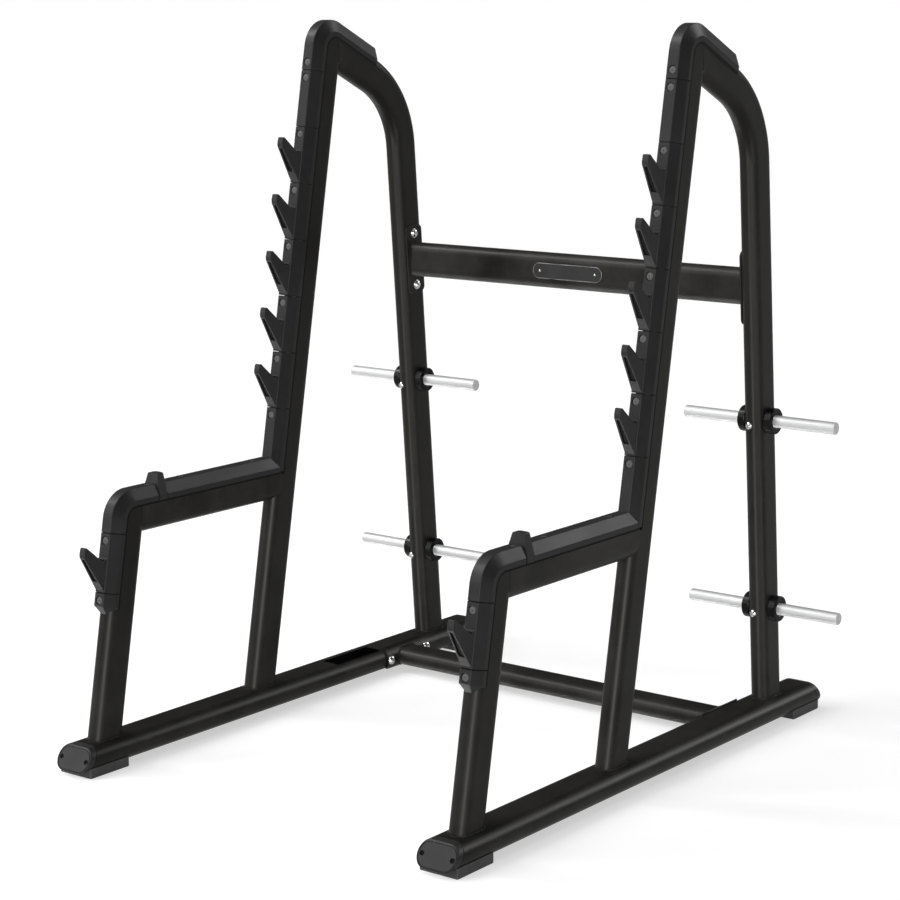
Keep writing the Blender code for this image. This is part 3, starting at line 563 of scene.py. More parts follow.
# One bent tube in the side plane: legs joined by bends, ends cut by planes
def bentTube(points, radius, bendCount, firstDepth, startCut, endCut):
    runs = [unit(end - start) for start, end in zip(points, points[1:])]
    stretches = [straightRows(points[0], runs[0], [0.0])]
    for corner, before, after in zip(points[1:], runs, runs[1:]):
        stretches.append(bendRows(corner, before, after, radius, bendCount))
    stretches.append(straightRows(points[-1], runs[-1], [0.0]))
    surface = sweepSection(stackRows(*stretches), tubeAcross, tubeOutline[:, 1] + firstDepth)
    slideRow(surface, 0, runs[0], *startCut)
    slideRow(surface, -1, runs[-1], *endCut)
    return closedSweep(surface)


onBase = (np.array((0.0, rackSet["baseTop"])), level)


# The front tube of a side frame: up from the base, round the corner and cut upright at the seam
def frontBend(face, corner, after, seam):
    return bentTube([face, corner, corner + after * tubeSet["overrun"]], faceRadius, tubeSet["bendRows"],
                    faceToAxis, onBase, (seam, backward))


# Y of the uprights' face line at a height: y of a known point + climb x tangent of the lean
def uprightFaceAt(height):
    return uprightFace[0] + (height - uprightFace[1]) * math.tan(lean)


uprightPart = frontBend(uprightFace, topCorner, downBrace, topSeam)
frontPart = frontBend(frontFace, stepCorner, backward, stepSeam)
# The step's end is coped: each point stops at the upright's front round, half a millimetre short of it
stepEnd = crossing(uprightFace, upPost, stepFace, backward)
stepRows = straightRows(np.array((stepSeam[0], stepFace[1])), backward, [0.0, stepEnd[0] - stepSeam[0]])
stepSurface = sweepSection(stepRows, tubeAcross, tubeOutline[:, 1] + faceToAxis)
roundDepth = rise + tubeRound - np.sqrt(np.maximum(tubeRound ** 2 - tubeAcross ** 2, 0))
stepSurface[-1, :, 1] = (uprightFaceAt(stepSurface[-1, :, 2]) + roundDepth / math.cos(lean)
                         - tubeSet["copeGap"])
stepPart = closedSweep(stepSurface)
rearStart = braceOuter + downBrace * (topSeam[0] - braceOuter[0])
rearPart = bentTube([rearStart, rearCorner, rearOuter], rackSet["rearBend"] + rackSet["tubeDepth"] / 2,
                    tubeSet["rearBendRows"], rackSet["tubeDepth"] / 2, (topSeam, backward), onBase)
for side, x in sides.items():
    for name, node, part in (("Upright", "upright", uprightPart), ("FrontPost", "front_post", frontPart),
                             ("StepTube", "step_tube", stepPart), ("RearPost", "rear_post", rearPart)):
        makePiece(side + name, [moved(part, (x, 0, 0))], ["tube"], [side + "_" + node])
print("tubes made")

# Base tubes with leaning ends, their caps and feet
baseSet = {"halfLength": 0.7813, "width": 0.1102, "height": 0.0596, "endLean": 29.3}
capSet = {
    "length": 0.0199,
    # How far in from the edge and how far back from the cap's end each ring lies
    "rings": [(0.0022, 0.0194), (0.0022, 0.0186), (0.0, 0.0180), (0.0, 0.0036), (0.0003, 0.0022),
              (0.0010, 0.0010), (0.0022, 0.0006), (0.0036, 0.0001), (0.0040, 0.0020), (0.0049, 0.0020),
              (0.0055, 0.0003), (0.0062, 0.0001)],
    "recess": 0.0062, "recessDepth": 0.004, "recessEase": 0.0004, "middleSteps": 9,
    "screwX": 0.0412, "screwSink": 0.0032, "screwScale": 0.56,
}
endLean = math.radians(baseSet["endLean"])
baseStart = np.array((0.0, rackSet["baseMiddle"]))


# The base tube's outline, set in from its edge, carried along the distances
def baseSweep(inset, distances):
    outline = ovalOutline(baseSet["width"] - 2 * inset, baseSet["height"] - 2 * inset)
    return sweepSection(straightRows(baseStart, backward, distances), outline[:, 0], outline[:, 1])


# A leaning plane across the base tube, through its middle line at the reach
def endPlane(end, reach):
    return np.array((end * reach, rackSet["baseMiddle"])), np.array((end, math.tan(endLean)))


baseSurface = baseSweep(0.0, [-baseSet["halfLength"], baseSet["halfLength"]])
slideRow(baseSurface, 0, backward, *endPlane(-1, baseSet["halfLength"]))
slideRow(baseSurface, -1, backward, *endPlane(1, baseSet["halfLength"]))
basePart = closedSweep(baseSurface)


# A ring of the cap: the outline, set in, slid to the leaning plane
def capRing(end, inset, reach):
    surface = baseSweep(inset, [0.0])
    slideRow(surface, 0, backward, *endPlane(end, reach))
    return surface[0]


# The end face has a window on each half, its border drawn in to a screw recess
def capParts(end):
    tip = baseSet["halfLength"] + capSet["length"]
    rings = np.stack([capRing(end, inset, tip - back) for inset, back in capSet["rings"]])
    count = rings.shape[1]
    parts = [gridPart(rings, [list(range(count))])]
    middle, normal = endPlane(end, tip)
    inward = -unit(np.array((0.0, *normal)))
    face = rings[-1]
    cut = int(np.argmin(np.abs(face[:count // 2, 0])))
    turned = np.roll(face, -cut, axis=0)
    share = np.linspace(0, 1, capSet["middleSteps"])[1:-1, None]
    seam = turned[0] * (1 - share) + turned[count // 2] * share
    halves = (np.concatenate((turned[:count // 2 + 1], seam[::-1])),
              np.concatenate((turned[count // 2:], turned[:1], seam)))
    for border in halves:
        centre = np.array((math.copysign(capSet["screwX"], border[:, 0].mean()), *middle))
        parts.append(recessPart(border, centre, inward, capSet["recess"], capSet["recessDepth"],
                                capSet["recessEase"]))
    return parts, middle, inward


# A rectangle with round corners: one corner arc, mirrored to the other three
def roundedRectangle(width, length, radius, steps=6):
    angle = np.linspace(0, math.pi / 2, steps + 1)
    arc = np.stack((np.cos(angle), np.sin(angle)), axis=1) * radius
    arc = arc + (width / 2 - radius, length / 2 - radius)
    return np.concatenate((arc, (arc * (-1, 1))[::-1], -arc, (arc * (1, -1))[::-1]))


# A slab from set-in outlines: for each (inset, height) of its rings, outlineAt(inset) is put at
# middle + its first value x across + its second value x up + height x out
def slabPart(outlineAt, rings, middle, across=(1, 0, 0), up=(0, 1, 0), out=(0, 0, 1)):
    across, up, out = np.array((across, up, out), float)
    surface = []
    for inset, height in rings:
        outline = outlineAt(inset)
        surface.append(middle + outline[:, :1] * across + outline[:, 1:] * up + height * out)
    return closedSweep(np.stack(surface))


# Feet, with the inset and height of each ring up the side
footSet = {"width": 0.1044, "length": 0.1315, "endY": 0.7965, "corner": 0.0028,
           "rings": [(0.0022, 0.0), (0.0006, 0.0005), (0.0, 0.0018), (0.0, 0.0240), (0.0005, 0.0251),
                     (0.0014, 0.0255)]}


# A foot: the rectangle set in by each ring's inset and raised to its height, its far edge at endY
def footPart(end):
    width, length = footSet["width"], footSet["length"]
    return slabPart(lambda inset: roundedRectangle(width - 2 * inset, length - 2 * inset, footSet["corner"]),
                    footSet["rings"], (0, end * (footSet["endY"] - length / 2), 0))


# A small screw head with a socket: radius and height of each ring above its seat
screwSet = {"steps": 32, "capSteps": 24,
            "rings": [(0.0, -0.004), (0.0088, -0.004), (0.0088, -0.0010), (0.0085, -0.0003),
                      (0.0076, 0.0001), (0.0040, 0.0004), (0.0019, 0.0005), (0.0016, 0.0001),
                      (0.0015, -0.0014), (0.0, -0.0016)]}
capScrews = {"left": [], "right": []}
for end, endName in ((-1, "front"), (1, "back")):
    parts, middle, inward = capParts(end)
    for side, x in sides.items():
        for kind, look, shapes in (("cap", "moulding", parts), ("foot", "foot", [footPart(end)])):
            title = side + endName.capitalize() + kind.capitalize()
            makePiece(title, [moved(part, (x, 0, 0)) for part in shapes], [look],
                      ["%s_%s_%s" % (side, endName, kind)])
        for across in (-capSet["screwX"], capSet["screwX"]):
            seat = np.array((x + across, *middle)) + inward * capSet["screwSink"]
            rings = np.array(screwSet["rings"]) * capSet["screwScale"]
            capScrews[side].append(turnedPart(rings, seat, -inward, screwSet["capSteps"]))
for side, x in sides.items():
    makePiece(side + "BaseTube", [moved(basePart, (x, 0, 0))], ["tube"], [side + "_base_tube"])
    # The cap screws are dark as painted shade, so that their recesses read black
    makePiece(side + "CapScrews", capScrews[side], ["shadow"])
print("base tubes, caps and feet made")

# Moulded covers over the front of the tubes
coverSet = {
    "width": 0.0586, "face": 0.0296, "chamferDepth": 0.0277, "depth": 0.0398, "wall": 0.0025,
    "pitch": 0.1465, "top": 0.0192, "seam": 0.0016, "hooks": 5, "window": 0.0112, "windowSteps": 8,
    "rearRound": 0.0008, "sideRound": 0.0050, "faceRound": 0.0030, "roundSteps": 5,
    "recess": 0.0102, "recessDepth": 0.0075, "recessEase": 0.0006, "screwSeat": 0.0018,
    "thirdScrewZ": 1.5105, "frontScrewDrop": 1.0610, "lowerEndZ": 0.640,
    # The bed leaves the tube's round from this depth on, and stays this much inside the wall at the rear
    "bedDepth": 0.030, "bedSlack": 0.0002,
    # Dark lip behind the rear edges, a painted shadow in the gap between cover and tube: half widths and
    # depths
    "lip": (0.0250, 0.0288), "lipDepth": (0.0385, 0.0450),
    # How far the first three rows of an eased end lie back from it, and how far in they are drawn
    "easeBack": (0.0, 0.00018, 0.0006), "easeInset": (0.0006, 0.00018, 0.0),
}


# A cover's section: skin points from one rear edge over the face to the other, and for each a bed point
# on the ray to the middle of the tube's front round, which keeps clear of the tube near the rear edge
def coverSection(halfWidth, faceHalf, chamferDepth, faceDepth=0.0):
    depth = coverSet["depth"]
    corners = [(halfWidth - coverSet["wall"] / 2, depth), (halfWidth, depth), (halfWidth, chamferDepth),
               (faceHalf, faceDepth), (0, faceDepth)]
    radii = coverSet["rearRound"], coverSet["sideRound"], coverSet["faceRound"]
    line = roundedLine(corners, radii, coverSet["roundSteps"])[:-1]
    window = coverSet["window"]
    flat = np.linspace(window, -window, coverSet["windowSteps"] + 1)
    half = line[line[:, 0] > window]
    skin = np.concatenate((half, np.column_stack((flat, np.full(len(flat), faceDepth))),
                           (half * (-1, 1))[::-1]))
    centre = np.array((0.0, rise + tubeRound))
    spoke = unitRows(skin - centre)
    bedDepth = coverSet["bedDepth"]
    near = np.clip((skin[:, 1] - bedDepth) / (depth - bedDepth), 0, 1) ** 2
    radius = tubeRound + gap + near * (halfWidth - coverSet["wall"] - tubeRound - coverSet["bedSlack"])
    bed = centre + spoke * radius[:, None]
    return {"skin": skin, "bed": bed[::-1], "inward": outlineNormals(skin), "first": len(half)}


coverShape = coverSection(coverSet["width"] / 2, coverSet["face"] / 2, coverSet["chamferDepth"])


# Distances along a straight stretch with eased ends and a window at each screw
def coverStations(length, screwDistances, easeStart=True, easeEnd=True):
    window = coverSet["window"]
    stations = list(coverSet["easeBack"]) if easeStart else [0.0]
    windows = []
    for distance in screwDistances:
        windows.append(len(stations))
        stations += list(distance + np.linspace(-window, window, coverSet["windowSteps"] + 1))
    stations += [length - back for back in coverSet["easeBack"][::-1]] if easeEnd else [length]
    insets = np.zeros(len(stations))
    if easeStart:
        insets[:3] = coverSet["easeInset"]
    if easeEnd:
        insets[-3:] = coverSet["easeInset"][::-1]
    return stations, insets, windows


# The cover's closed shell: skin and bed columns along the rows, a recess in each window, and ends faced
# between skin and bed. In a seam an end and its eased edge are painted dark as shade in the gap between
# covers; free ends (0 first, 1 last) are plain.
def coverParts(rows, insets, windows, section=coverShape, shape=None, lipShape=None, freeEnds=()):
    skin = section["skin"] + section["inward"] * np.asarray(insets)[:, None, None]
    loop = np.concatenate((skin, np.broadcast_to(section["bed"], skin.shape)), axis=1)
    surface = sweepSection(rows, loop[..., 0], loop[..., 1])
    if shape:
        shape(surface)
    rowCount, columnCount = surface.shape[:2]
    half = columnCount // 2
    keep = np.ones((rowCount - 1, columnCount), bool)
    size = coverSet["windowSteps"]
    parts = []
    for row in windows:
        column = section["first"]
        keep[row:row + size, column:column + size] = False
        block = surface[row:row + size + 1, column:column + size + 1]
        border = np.concatenate((block[0, :-1], block[:-1, -1], block[-1, :0:-1], block[:0:-1, 0]))
        centre = (block[0, 0] + block[-1, -1]) / 2
        inward = np.array((0.0, *rows["inward"][row]))
        parts.append(recessPart(border, centre, inward, coverSet["recess"], coverSet["recessDepth"],
                                coverSet["recessEase"]))
    points = surface.reshape(-1, 3)
    strip = np.arange(half - 1)
    endFaces = np.stack((strip, strip + 1, columnCount - 2 - strip, columnCount - 1 - strip), axis=1)
    # In a seam the end face and eased bands are painted dark to stand for shade in the gap
    for index, row, bands in ((0, 0, slice(0, 2)), (1, rowCount - 1, slice(-2, None))):
        faces = (row * columnCount + endFaces).tolist()
        if index not in freeEnds:
            eased = np.zeros_like(keep)
            eased[bands, :half] = True
            keep = keep & ~eased
            faces += gridQuads(rowCount, columnCount, eased)
        parts.append({"points": points, "faces": faces, "look": 0 if index in freeEnds else 1})
    parts.insert(0, {"points": points, "faces": gridQuads(rowCount, columnCount, keep), "look": 0})
    # The lips are dark strips that stand for the shadow in the gap behind each rear edge
    near, far = coverSet["lip"]
    front, back = coverSet["lipDepth"]
    for side in (-1, 1):
        lipAcross = np.array((near, far, far, near)) * side
        lipSurface = sweepSection(rows, lipAcross, np.array((front, front, back, back)))
        if lipShape:
            lipShape(lipSurface)
        parts.append(closedSweep(lipSurface, 1))
    return parts


# A cover between two distances along a straight face line, with screws at given distances
def straightCover(origin, run, start, end, screws=(), eased=(True, True), **shaping):
    screwDistances = [distance - start for distance in screws]
    stations, insets, windows = coverStations(end - start, screwDistances, *eased)
    return coverParts(straightRows(origin + run * start, run, stations), insets, windows, **shaping)


# A screw head sunk in a cover's recess
def coverScrew(point, run):
    inward = np.array((0.0, *inwardOf(run)))
    seat = np.array((0.0, *point)) + inward * coverSet["screwSeat"]
    return turnedPart(screwSet["rings"], seat, -inward, screwSet["steps"])


# The same cover on both side frames, its screws kept for one piece on each side
screwParts = {"left": [], "right": []}


def placeCover(nodeName, parts, screws=(), shift=(0.0, 0.0)):
    title = "".join(word.capitalize() for word in nodeName.split("_"))
    for side, x in sides.items():
        makePiece(side + title, [moved(part, (x, *shift)) for part in parts], ["moulding", "shadow"],
                  [side + "_" + nodeName])
        screwParts[side] += [moved(screw, (x, *shift)) for screw in screws]


# Bar hooks: down from the screw and forward from the face, in the side plane
hookSet = {
    "ledge": 0.0417, "trough": (0.0518, 0.0104), "tipBack": (0.0174, 0.0661), "tipFront": (0.0192, 0.0718),
    "nose": (0.0343, 0.0732), "chin": (0.0419, 0.0714), "root": 0.1221, "rootHalf": 0.0146, "sink": 0.007,
    "heel": 0.001, "taper": 0.0817, "edge": 0.0013, "edgeSteps": 5,
    "radii": (0.0030, 0.0022, 0.0026, 0.0080, 0.0050), "radiusSteps": 6,
    # Pocket under the hook: where it runs, its rim, and how far its rings draw in and sink
    "pocketRun": (0.0060, 0.0790), "pocketSteps": 11, "pocketRim": 0.0045,
    "pocketRings": ((0.0, 0.0), (0.0006, 0.0006), (0.0014, 0.0055)),
    # Small pocket in the ledge, the same way
    "ledgeRun": (0.0030, 0.0083), "ledgeRim": 0.0020,
    "ledgeRings": ((0.0, 0.0), (0.0005, 0.0004), (0.0009, 0.0034)),
}


# Side-plane point of a (down, forward) pair: down x the post's run + forward x away from its face
def hookPoint(pairs):
    pairs = np.asarray(pairs, float)
    return -upPost * pairs[..., :1] - inwardOf(upPost) * pairs[..., 1:2]


# Half the hook's width: half width at the root - taper x distance forward
def hookHalf(forward):
    return hookSet["rootHalf"] - hookSet["taper"] * np.maximum(forward, 0)


# Walls and floor of a pocket from three rings, painted dark as shade in the recess: the first two are its
# plain edge
def pocketParts(rings, floorFaces):
    rings = np.stack(rings)
    return [gridPart(rings[:2]), gridPart(rings[1:], floorFaces(rings.shape[1]), 1)]


# A long floor: quads from each point of one side to its match on the other
def stripFloor(count):
    return [[count + corner for corner in (index, index + 1, count - 2 - index, count - 1 - index)]
            for index in range(count // 2 - 1)]


# A small floor: one face over the last ring
def plainFloor(count):
    return [list(range(count, 2 * count))]


# The hook is a rounded prism: its outline runs round, the columns run across and round the side edges.
# The pocket is a window in the under side, drawn in and down to its floor; a small one sinks into the ledge.
# Their walls and floors are painted dark as shade.
def hookParts():
    trough, chin = np.array(hookSet["trough"]), np.array(hookSet["chin"])
    ramp = (trough[0] - hookSet["ledge"]) / trough[1]
    under = (hookSet["root"] - chin[0]) / chin[1]
    along = unit(np.array((hookSet["root"], 0.0)) - chin)
    into = np.array((along[1], -along[0]))
    steps = np.linspace(*hookSet["pocketRun"], hookSet["pocketSteps"])
    run = chin + steps[:, None] * along
    top = roundedLine([(hookSet["ledge"] - hookSet["sink"] * ramp, -hookSet["sink"]), trough,
                       hookSet["tipBack"], hookSet["tipFront"], hookSet["nose"], chin, run[0]],
                      hookSet["radii"], hookSet["radiusSteps"])
    ledge = np.array([(hookSet["ledge"] + ramp * forward, forward) for forward in hookSet["ledgeRun"]])
    top = np.concatenate((top[:1], ledge, top[1:]))
    heel = [(hookSet["root"] + hookSet["heel"] * under, -hookSet["heel"]),
            (hookSet["root"], -hookSet["sink"])]
    outline = np.concatenate((top, run[1:], heel))
    first = len(top) - 1
    inwards = outlineNormals(outline, True)
    edge = hookSet["edge"]
    columns = []
    for angle in np.linspace(0, math.pi / 2, hookSet["edgeSteps"]):
        inner = outline + inwards * edge * (1 - math.sin(angle))
        columns.append((inner, hookHalf(inner[:, 1]) - edge * (1 - math.cos(angle))))
    for rim in (hookSet["ledgeRim"], hookSet["pocketRim"]):
        columns.append((outline, hookHalf(outline[:, 1]) - rim))
    strips = [np.column_stack((half, hookPoint(pairs))) for pairs, half in columns]
    strips += [strip * (-1, 1, 1) for strip in strips[::-1]]
    surface = np.stack(strips)
    columnCount, rowCount = surface.shape[:2]
    keep = np.ones((columnCount - 1, rowCount), bool)
    keep[len(columns) - 1, first:first + len(steps) - 1] = False
    keep[len(columns) - 2:len(columns) + 1, 1] = False
    last = (columnCount - 1) * rowCount
    faces = gridQuads(columnCount, rowCount, keep)
    faces += [list(range(rowCount)), list(range(last, last + rowCount))]
    parts = [{"points": surface.reshape(-1, 3), "faces": faces, "look": 0}]
    rings = []
    for shrink, depth in hookSet["pocketRings"]:
        place = np.clip(steps, steps[0] + shrink, steps[-1] - shrink)
        pairs = chin + place[:, None] * along
        half = hookHalf(pairs[:, 1]) - hookSet["pocketRim"] - shrink
        near = np.column_stack((half, hookPoint(pairs + into * depth)))
        rings.append(np.concatenate((near, (near * (-1, 1, 1))[::-1])))
    parts += pocketParts(rings, stripFloor)
    slant = unit(ledge[1] - ledge[0])
    rings = []
    for shrink, depth in hookSet["ledgeRings"]:
        pairs = np.array([ledge[0] + slant * shrink, ledge[1] - slant * shrink])
        sunk = hookPoint(pairs + np.array((slant[1], -slant[0])) * depth)
        outer, inner = (hookHalf(pairs[:, 1]) - hookSet[rim] - shrink for rim in ("ledgeRim", "pocketRim"))
        rows = [np.column_stack((half, sunk)) for half in (outer, inner, -inner, -outer)]
        rings.append(np.concatenate(([row[0] for row in rows], [row[1] for row in rows[::-1]])))
    return parts + pocketParts(rings, plainFloor)


thirdScrew = crossing(uprightFace, upPost, np.array((0.0, coverSet["thirdScrewZ"])), backward)
frontScrew = crossing(frontFace, upPost, thirdScrew - upPost * coverSet["frontScrewDrop"], inwardOf(upPost))
pitch, seam = coverSet["pitch"], coverSet["seam"]
coverTop = coverSet["top"] - seam / 2
nextStart = coverSet["top"] + seam / 2
origin = np.zeros(2)
plainCover = straightCover(origin, upPost, nextStart - pitch, coverTop, [0.0])
hookCover = plainCover + hookParts()
ownScrew = [coverScrew(origin, upPost)]
for number in range(coverSet["hooks"]):
    placeCover("hook_cover_%d" % (number + 1), hookCover, ownScrew, thirdScrew - upPost * pitch * number)
placeCover("front_hook_cover", hookCover, ownScrew, frontScrew)
plainScrew = thirdScrew + upPost * pitch
placeCover("plain_cover", plainCover, ownScrew, plainScrew)
print("hook covers made")

# The top cover turns the corner and ends on the brace, where its skin stands a little higher
topSet = {"screwRise": 0.0398, "lift": 0.0034, "liftEnd": 0.02, "reach": 0.2620, "endLean": 10.0,
          "bendRows": 28}
topJoint = plainScrew + upPost * nextStart
topScrew = plainScrew + upPost * topSet["screwRise"]


# Rows for a cover that climbs from a joint, turns a corner and runs on to an end
def cornerRows(joint, corner, after, reach, screwFirst, screwAfter, bendCount):
    bend = bendRows(corner, upPost, after, faceRadius, bendCount)
    length = (bend["point"][0] - joint) @ upPost
    first, insetsFirst, windowsFirst = coverStations(length, screwFirst, True, False)
    rest = reach - (bend["point"][-1] - corner) @ after
    second, insetsSecond, windowsSecond = coverStations(rest, screwAfter, False, True)
    rows = stackRows(straightRows(joint, upPost, first[:-1]), bend,
                     straightRows(bend["point"][-1], after, second[1:]))
    insets = np.concatenate((insetsFirst[:-1], np.zeros(bendCount + 1), insetsSecond[1:]))
    windows = windowsFirst + [row + len(first) + bendCount - 1 for row in windowsSecond]
    return rows, insets, windows


topPlan = cornerRows(topJoint, topCorner, downBrace, topSet["reach"],
                     [topSet["screwRise"] - coverSet["top"] - seam / 2], [], topSet["bendRows"])
leanTurn = math.radians(topSet["endLean"])
endNormal = np.array((downBrace[0] * math.cos(leanTurn) - downBrace[1] * math.sin(leanTurn),
                      downBrace[0] * math.sin(leanTurn) + downBrace[1] * math.cos(leanTurn)))
braceEnd = topCorner + downBrace * topSet["reach"]


# The lift grows from nothing at the joint to its full height past the bend, and fades towards the bed.
# The end leans: its rows keep their distance from a leaning plane.
def shapeTopCover(surface):
    half = surface.shape[1] // 2
    liftTop = topCorner[1] - topSet["liftEnd"]
    climbed = (surface[:, half // 2, 2] - topJoint[1]) / (liftTop - topJoint[1])
    past = np.maximum.accumulate(np.clip(climbed, 0, 1))
    fade = np.clip(1 - np.abs(coverShape["skin"][:, 1]) / coverSet["depth"], 0, 1)
    lift = past[:, None] * fade * topSet["lift"]
    surface[:, :half, 1:] -= inwardOf(downBrace) * lift[..., None]
    for row, back in zip((-1, -2, -3), coverSet["easeBack"]):
        slideRow(surface, row, downBrace, braceEnd - downBrace * back, endNormal)


# The lip ends on the same leaning plane
def shapeTopLip(surface):
    slideRow(surface, -1, downBrace, braceEnd, endNormal)


placeCover("top_cover", coverParts(*topPlan, shape=shapeTopCover, lipShape=shapeTopLip, freeEnds=(1,)),
           [coverScrew(topScrew, upPost)])

# The lower cover ends level just below the step's top
lowerEnd = np.array((0.0, coverSet["lowerEndZ"]))
lowerScrew = thirdScrew - upPost * pitch * coverSet["hooks"]


# The first rows slide along the post to level planes
def shapeLowerCover(surface):
    for row, back in enumerate(coverSet["easeBack"]):
        slideRow(surface, row, upPost, lowerEnd + level * back, level)


# The lip starts on the lowest of them
def shapeLowerLip(surface):
    slideRow(surface, 0, upPost, lowerEnd, level)


lowerStart = (lowerEnd - lowerScrew)[1] / upPost[1]
lowerCover = straightCover(lowerScrew, upPost, lowerStart, coverTop, [0.0], shape=shapeLowerCover,
                           lipShape=shapeLowerLip)
placeCover("lower_cover", lowerCover, [coverScrew(lowerScrew, upPost)])

# The step cover runs from the stop to the upright's cover, whose skin it meets
stepSet = {"screws": (-0.4097, -0.1447), "stopFront": -0.5155, "stopBack": -0.4870, "cornerInset": 0.0135,
           "bendRows": 28}
stepLevel = stepFace[1]


# Each end point goes back to the upright cover's skin: face line at its height + skin depth at its x
def shapeStepCover(surface):
    skinDepth = np.interp(np.abs(surface[0, :, 0]), [coverSet["face"] / 2, coverSet["width"] / 2],
                          [0.0, coverSet["chamferDepth"]])
    for row, back in zip((-1, -2, -3), coverSet["easeBack"]):
        surface[row, :, 1] = uprightFaceAt(surface[row, :, 2]) + skinDepth / math.cos(lean) - gap - back


# The lip goes back to the face line + the chamfer's depth
def shapeStepLip(surface):
    surface[-1, :, 1] = uprightFaceAt(surface[-1, :, 2]) + coverSet["chamferDepth"] / math.cos(lean)


# A cover along the step's top line
def stepCover(start, end, screws=(), **shaping):
    return straightCover(stepFace, backward, start, end, screws, **shaping)


# A screw in a cover's face on the step, at a y
def stepScrew(y):
    return coverScrew(np.array((y, stepLevel)), backward)


placeCover("step_cover", stepCover(stepSet["stopBack"] + seam, stepEnd[0], stepSet["screws"],
                                   shape=shapeStepCover, lipShape=shapeStepLip),
           [stepScrew(y) for y in stepSet["screws"]])

cornerEnd = stepSet["stopFront"] - seam
cornerScrew = stepSet["stopFront"] - stepSet["cornerInset"]
bendEnd = bendRows(stepCorner, upPost, backward, faceRadius, 2)["point"][-1]
cornerPlan = cornerRows(frontScrew + upPost * nextStart, stepCorner, backward, cornerEnd - stepCorner[0],
                        [], [cornerScrew - bendEnd[0]], stepSet["bendRows"])
placeCover("front_corner_cover", coverParts(*cornerPlan), [stepScrew(cornerScrew)])

# The stop stands up between them, its front leaning back towards its top
stopSet = {"rise": 0.0240, "face": 0.0320, "width": 0.0604, "lean": 0.0075, "crown": 0.0012,
           "crownDepth": 0.0005}
stopShape = coverSection(stopSet["width"] / 2, stopSet["face"] / 2, coverSet["chamferDepth"],
                         -stopSet["rise"])


# Front rows move back by lean x the share of the rise, and the top gets a crown, 1 - (x / half width) ** 2
def shapeStop(surface):
    half = surface.shape[1] // 2
    depth = np.concatenate((stopShape["skin"][:, 1], stopShape["bed"][:, 1]))
    chamfer = coverSet["chamferDepth"]
    share = (chamfer - np.minimum(depth, chamfer)) / (chamfer + stopSet["rise"])
    surface[:3, :, 1] += stopSet["lean"] * share
    top = np.clip(1 - (surface[:, :half, 0] / (stopSet["face"] / 2)) ** 2, 0, 1)
    onTop = depth[:half] < -stopSet["rise"] + stopSet["crownDepth"]
    surface[:, :half, 2] += np.where(onTop, top * stopSet["crown"], 0)


placeCover("step_stop", stepCover(stepSet["stopFront"], stepSet["stopBack"], section=stopShape,
                                  shape=shapeStop, freeEnds=(0, 1)))

# The last cover of the front post: short at its face and sides, long at the tube's front
endSet = {"faceDrop": 0.0140, "sideDrop": 0.0170, "noseDrop": 0.0335, "noseHalf": 0.012, "lipDrop": 0.001}
endScrew = frontScrew - upPost * pitch


# The first row drops down the post: face to side drop over the chamfer, nose to side drop over the bed
def shapeEndCover(surface):
    face, side, nose = endSet["faceDrop"], endSet["sideDrop"], endSet["noseDrop"]
    skinShare = np.clip(coverShape["skin"][:, 1] / coverSet["chamferDepth"], 0, 1)
    bedHalf = np.abs(coverShape["bed"][:, 0])
    bedShare = np.clip((bedHalf - endSet["noseHalf"]) / (tubeRound - endSet["noseHalf"]), 0, 1)
    drop = np.concatenate((face + (side - face) * skinShare, nose + (side - nose) * bedShare)) - face
    surface[0, :, 1:] -= upPost * drop[:, None]


# The lip drops as the sides do, and a little more
def shapeEndLip(surface):
    surface[0, :, 1:] -= upPost * (endSet["sideDrop"] - endSet["faceDrop"] + endSet["lipDrop"])


endCover = straightCover(endScrew, upPost, -endSet["faceDrop"], coverTop, [0.0], (False, True),
                         shape=shapeEndCover, lipShape=shapeEndLip, freeEnds=(0,))
placeCover("front_end_cover", endCover, [coverScrew(endScrew, upPost)])
for side in sides:
    makePiece(side + "CoverScrews", screwParts[side], ["screw"])
print("covers, stops and screws made")

# Plate horns and their collars
hornSet = {"length": 0.4334, "steps": 64, "levels": {"upper": 0.8101, "lower": 0.3148},
           # Radius and distance from the end of each ring, over a fine turned groove and the rounded edge
           "rings": [(0.0, 0.0), (0.0030, 0.0), (0.0034, 0.0008), (0.0040, 0.0), (0.0135, 0.0),
                     (0.0149, 0.0006), (0.0155, 0.002)]}
hornProfile = [(radius, inset - hornSet["length"] / 2) for radius, inset in hornSet["rings"]]
hornProfile += [(radius, -height) for radius, height in reversed(hornProfile)]
# Radius and height of each ring of a collar from the post outwards
collarSet = {"steps": 72,
             "rings": [(0.0158, 0.0), (0.0300, 0.0), (0.0303, 0.0012), (0.0322, 0.0018), (0.0332, 0.0032),
                       (0.0332, 0.0198), (0.0328, 0.0213), (0.0318, 0.0222), (0.0304, 0.0225),
                       (0.0214, 0.0225), (0.0202, 0.0222), (0.0192, 0.0213), (0.0170, 0.0196),
                       (0.0158, 0.0190), (0.0158, 0.0)]}
for levelName, height in hornSet["levels"].items():
    axis = rearAxisAt(height)
    for side, x in sides.items():
        title = side + levelName.capitalize()
        node = side + "_" + levelName
        horn = turnedPart(hornProfile, (x, *axis), (1, 0, 0), hornSet["steps"])
        makePiece(title + "Horn", [horn], ["horn"], [node + "_horn"])
        for facing, sign in (("outer", math.copysign(1, x)), ("inner", -math.copysign(1, x))):
            start = (x + sign * (tubeRound + gap), *axis)
            collar = turnedPart(collarSet["rings"], start, (sign, 0, 0), collarSet["steps"])
            makePiece(title + facing.capitalize() + "Collar", [collar], ["collar"],
                      ["%s_%s_collar" % (node, facing)])
print("horns and collars made")

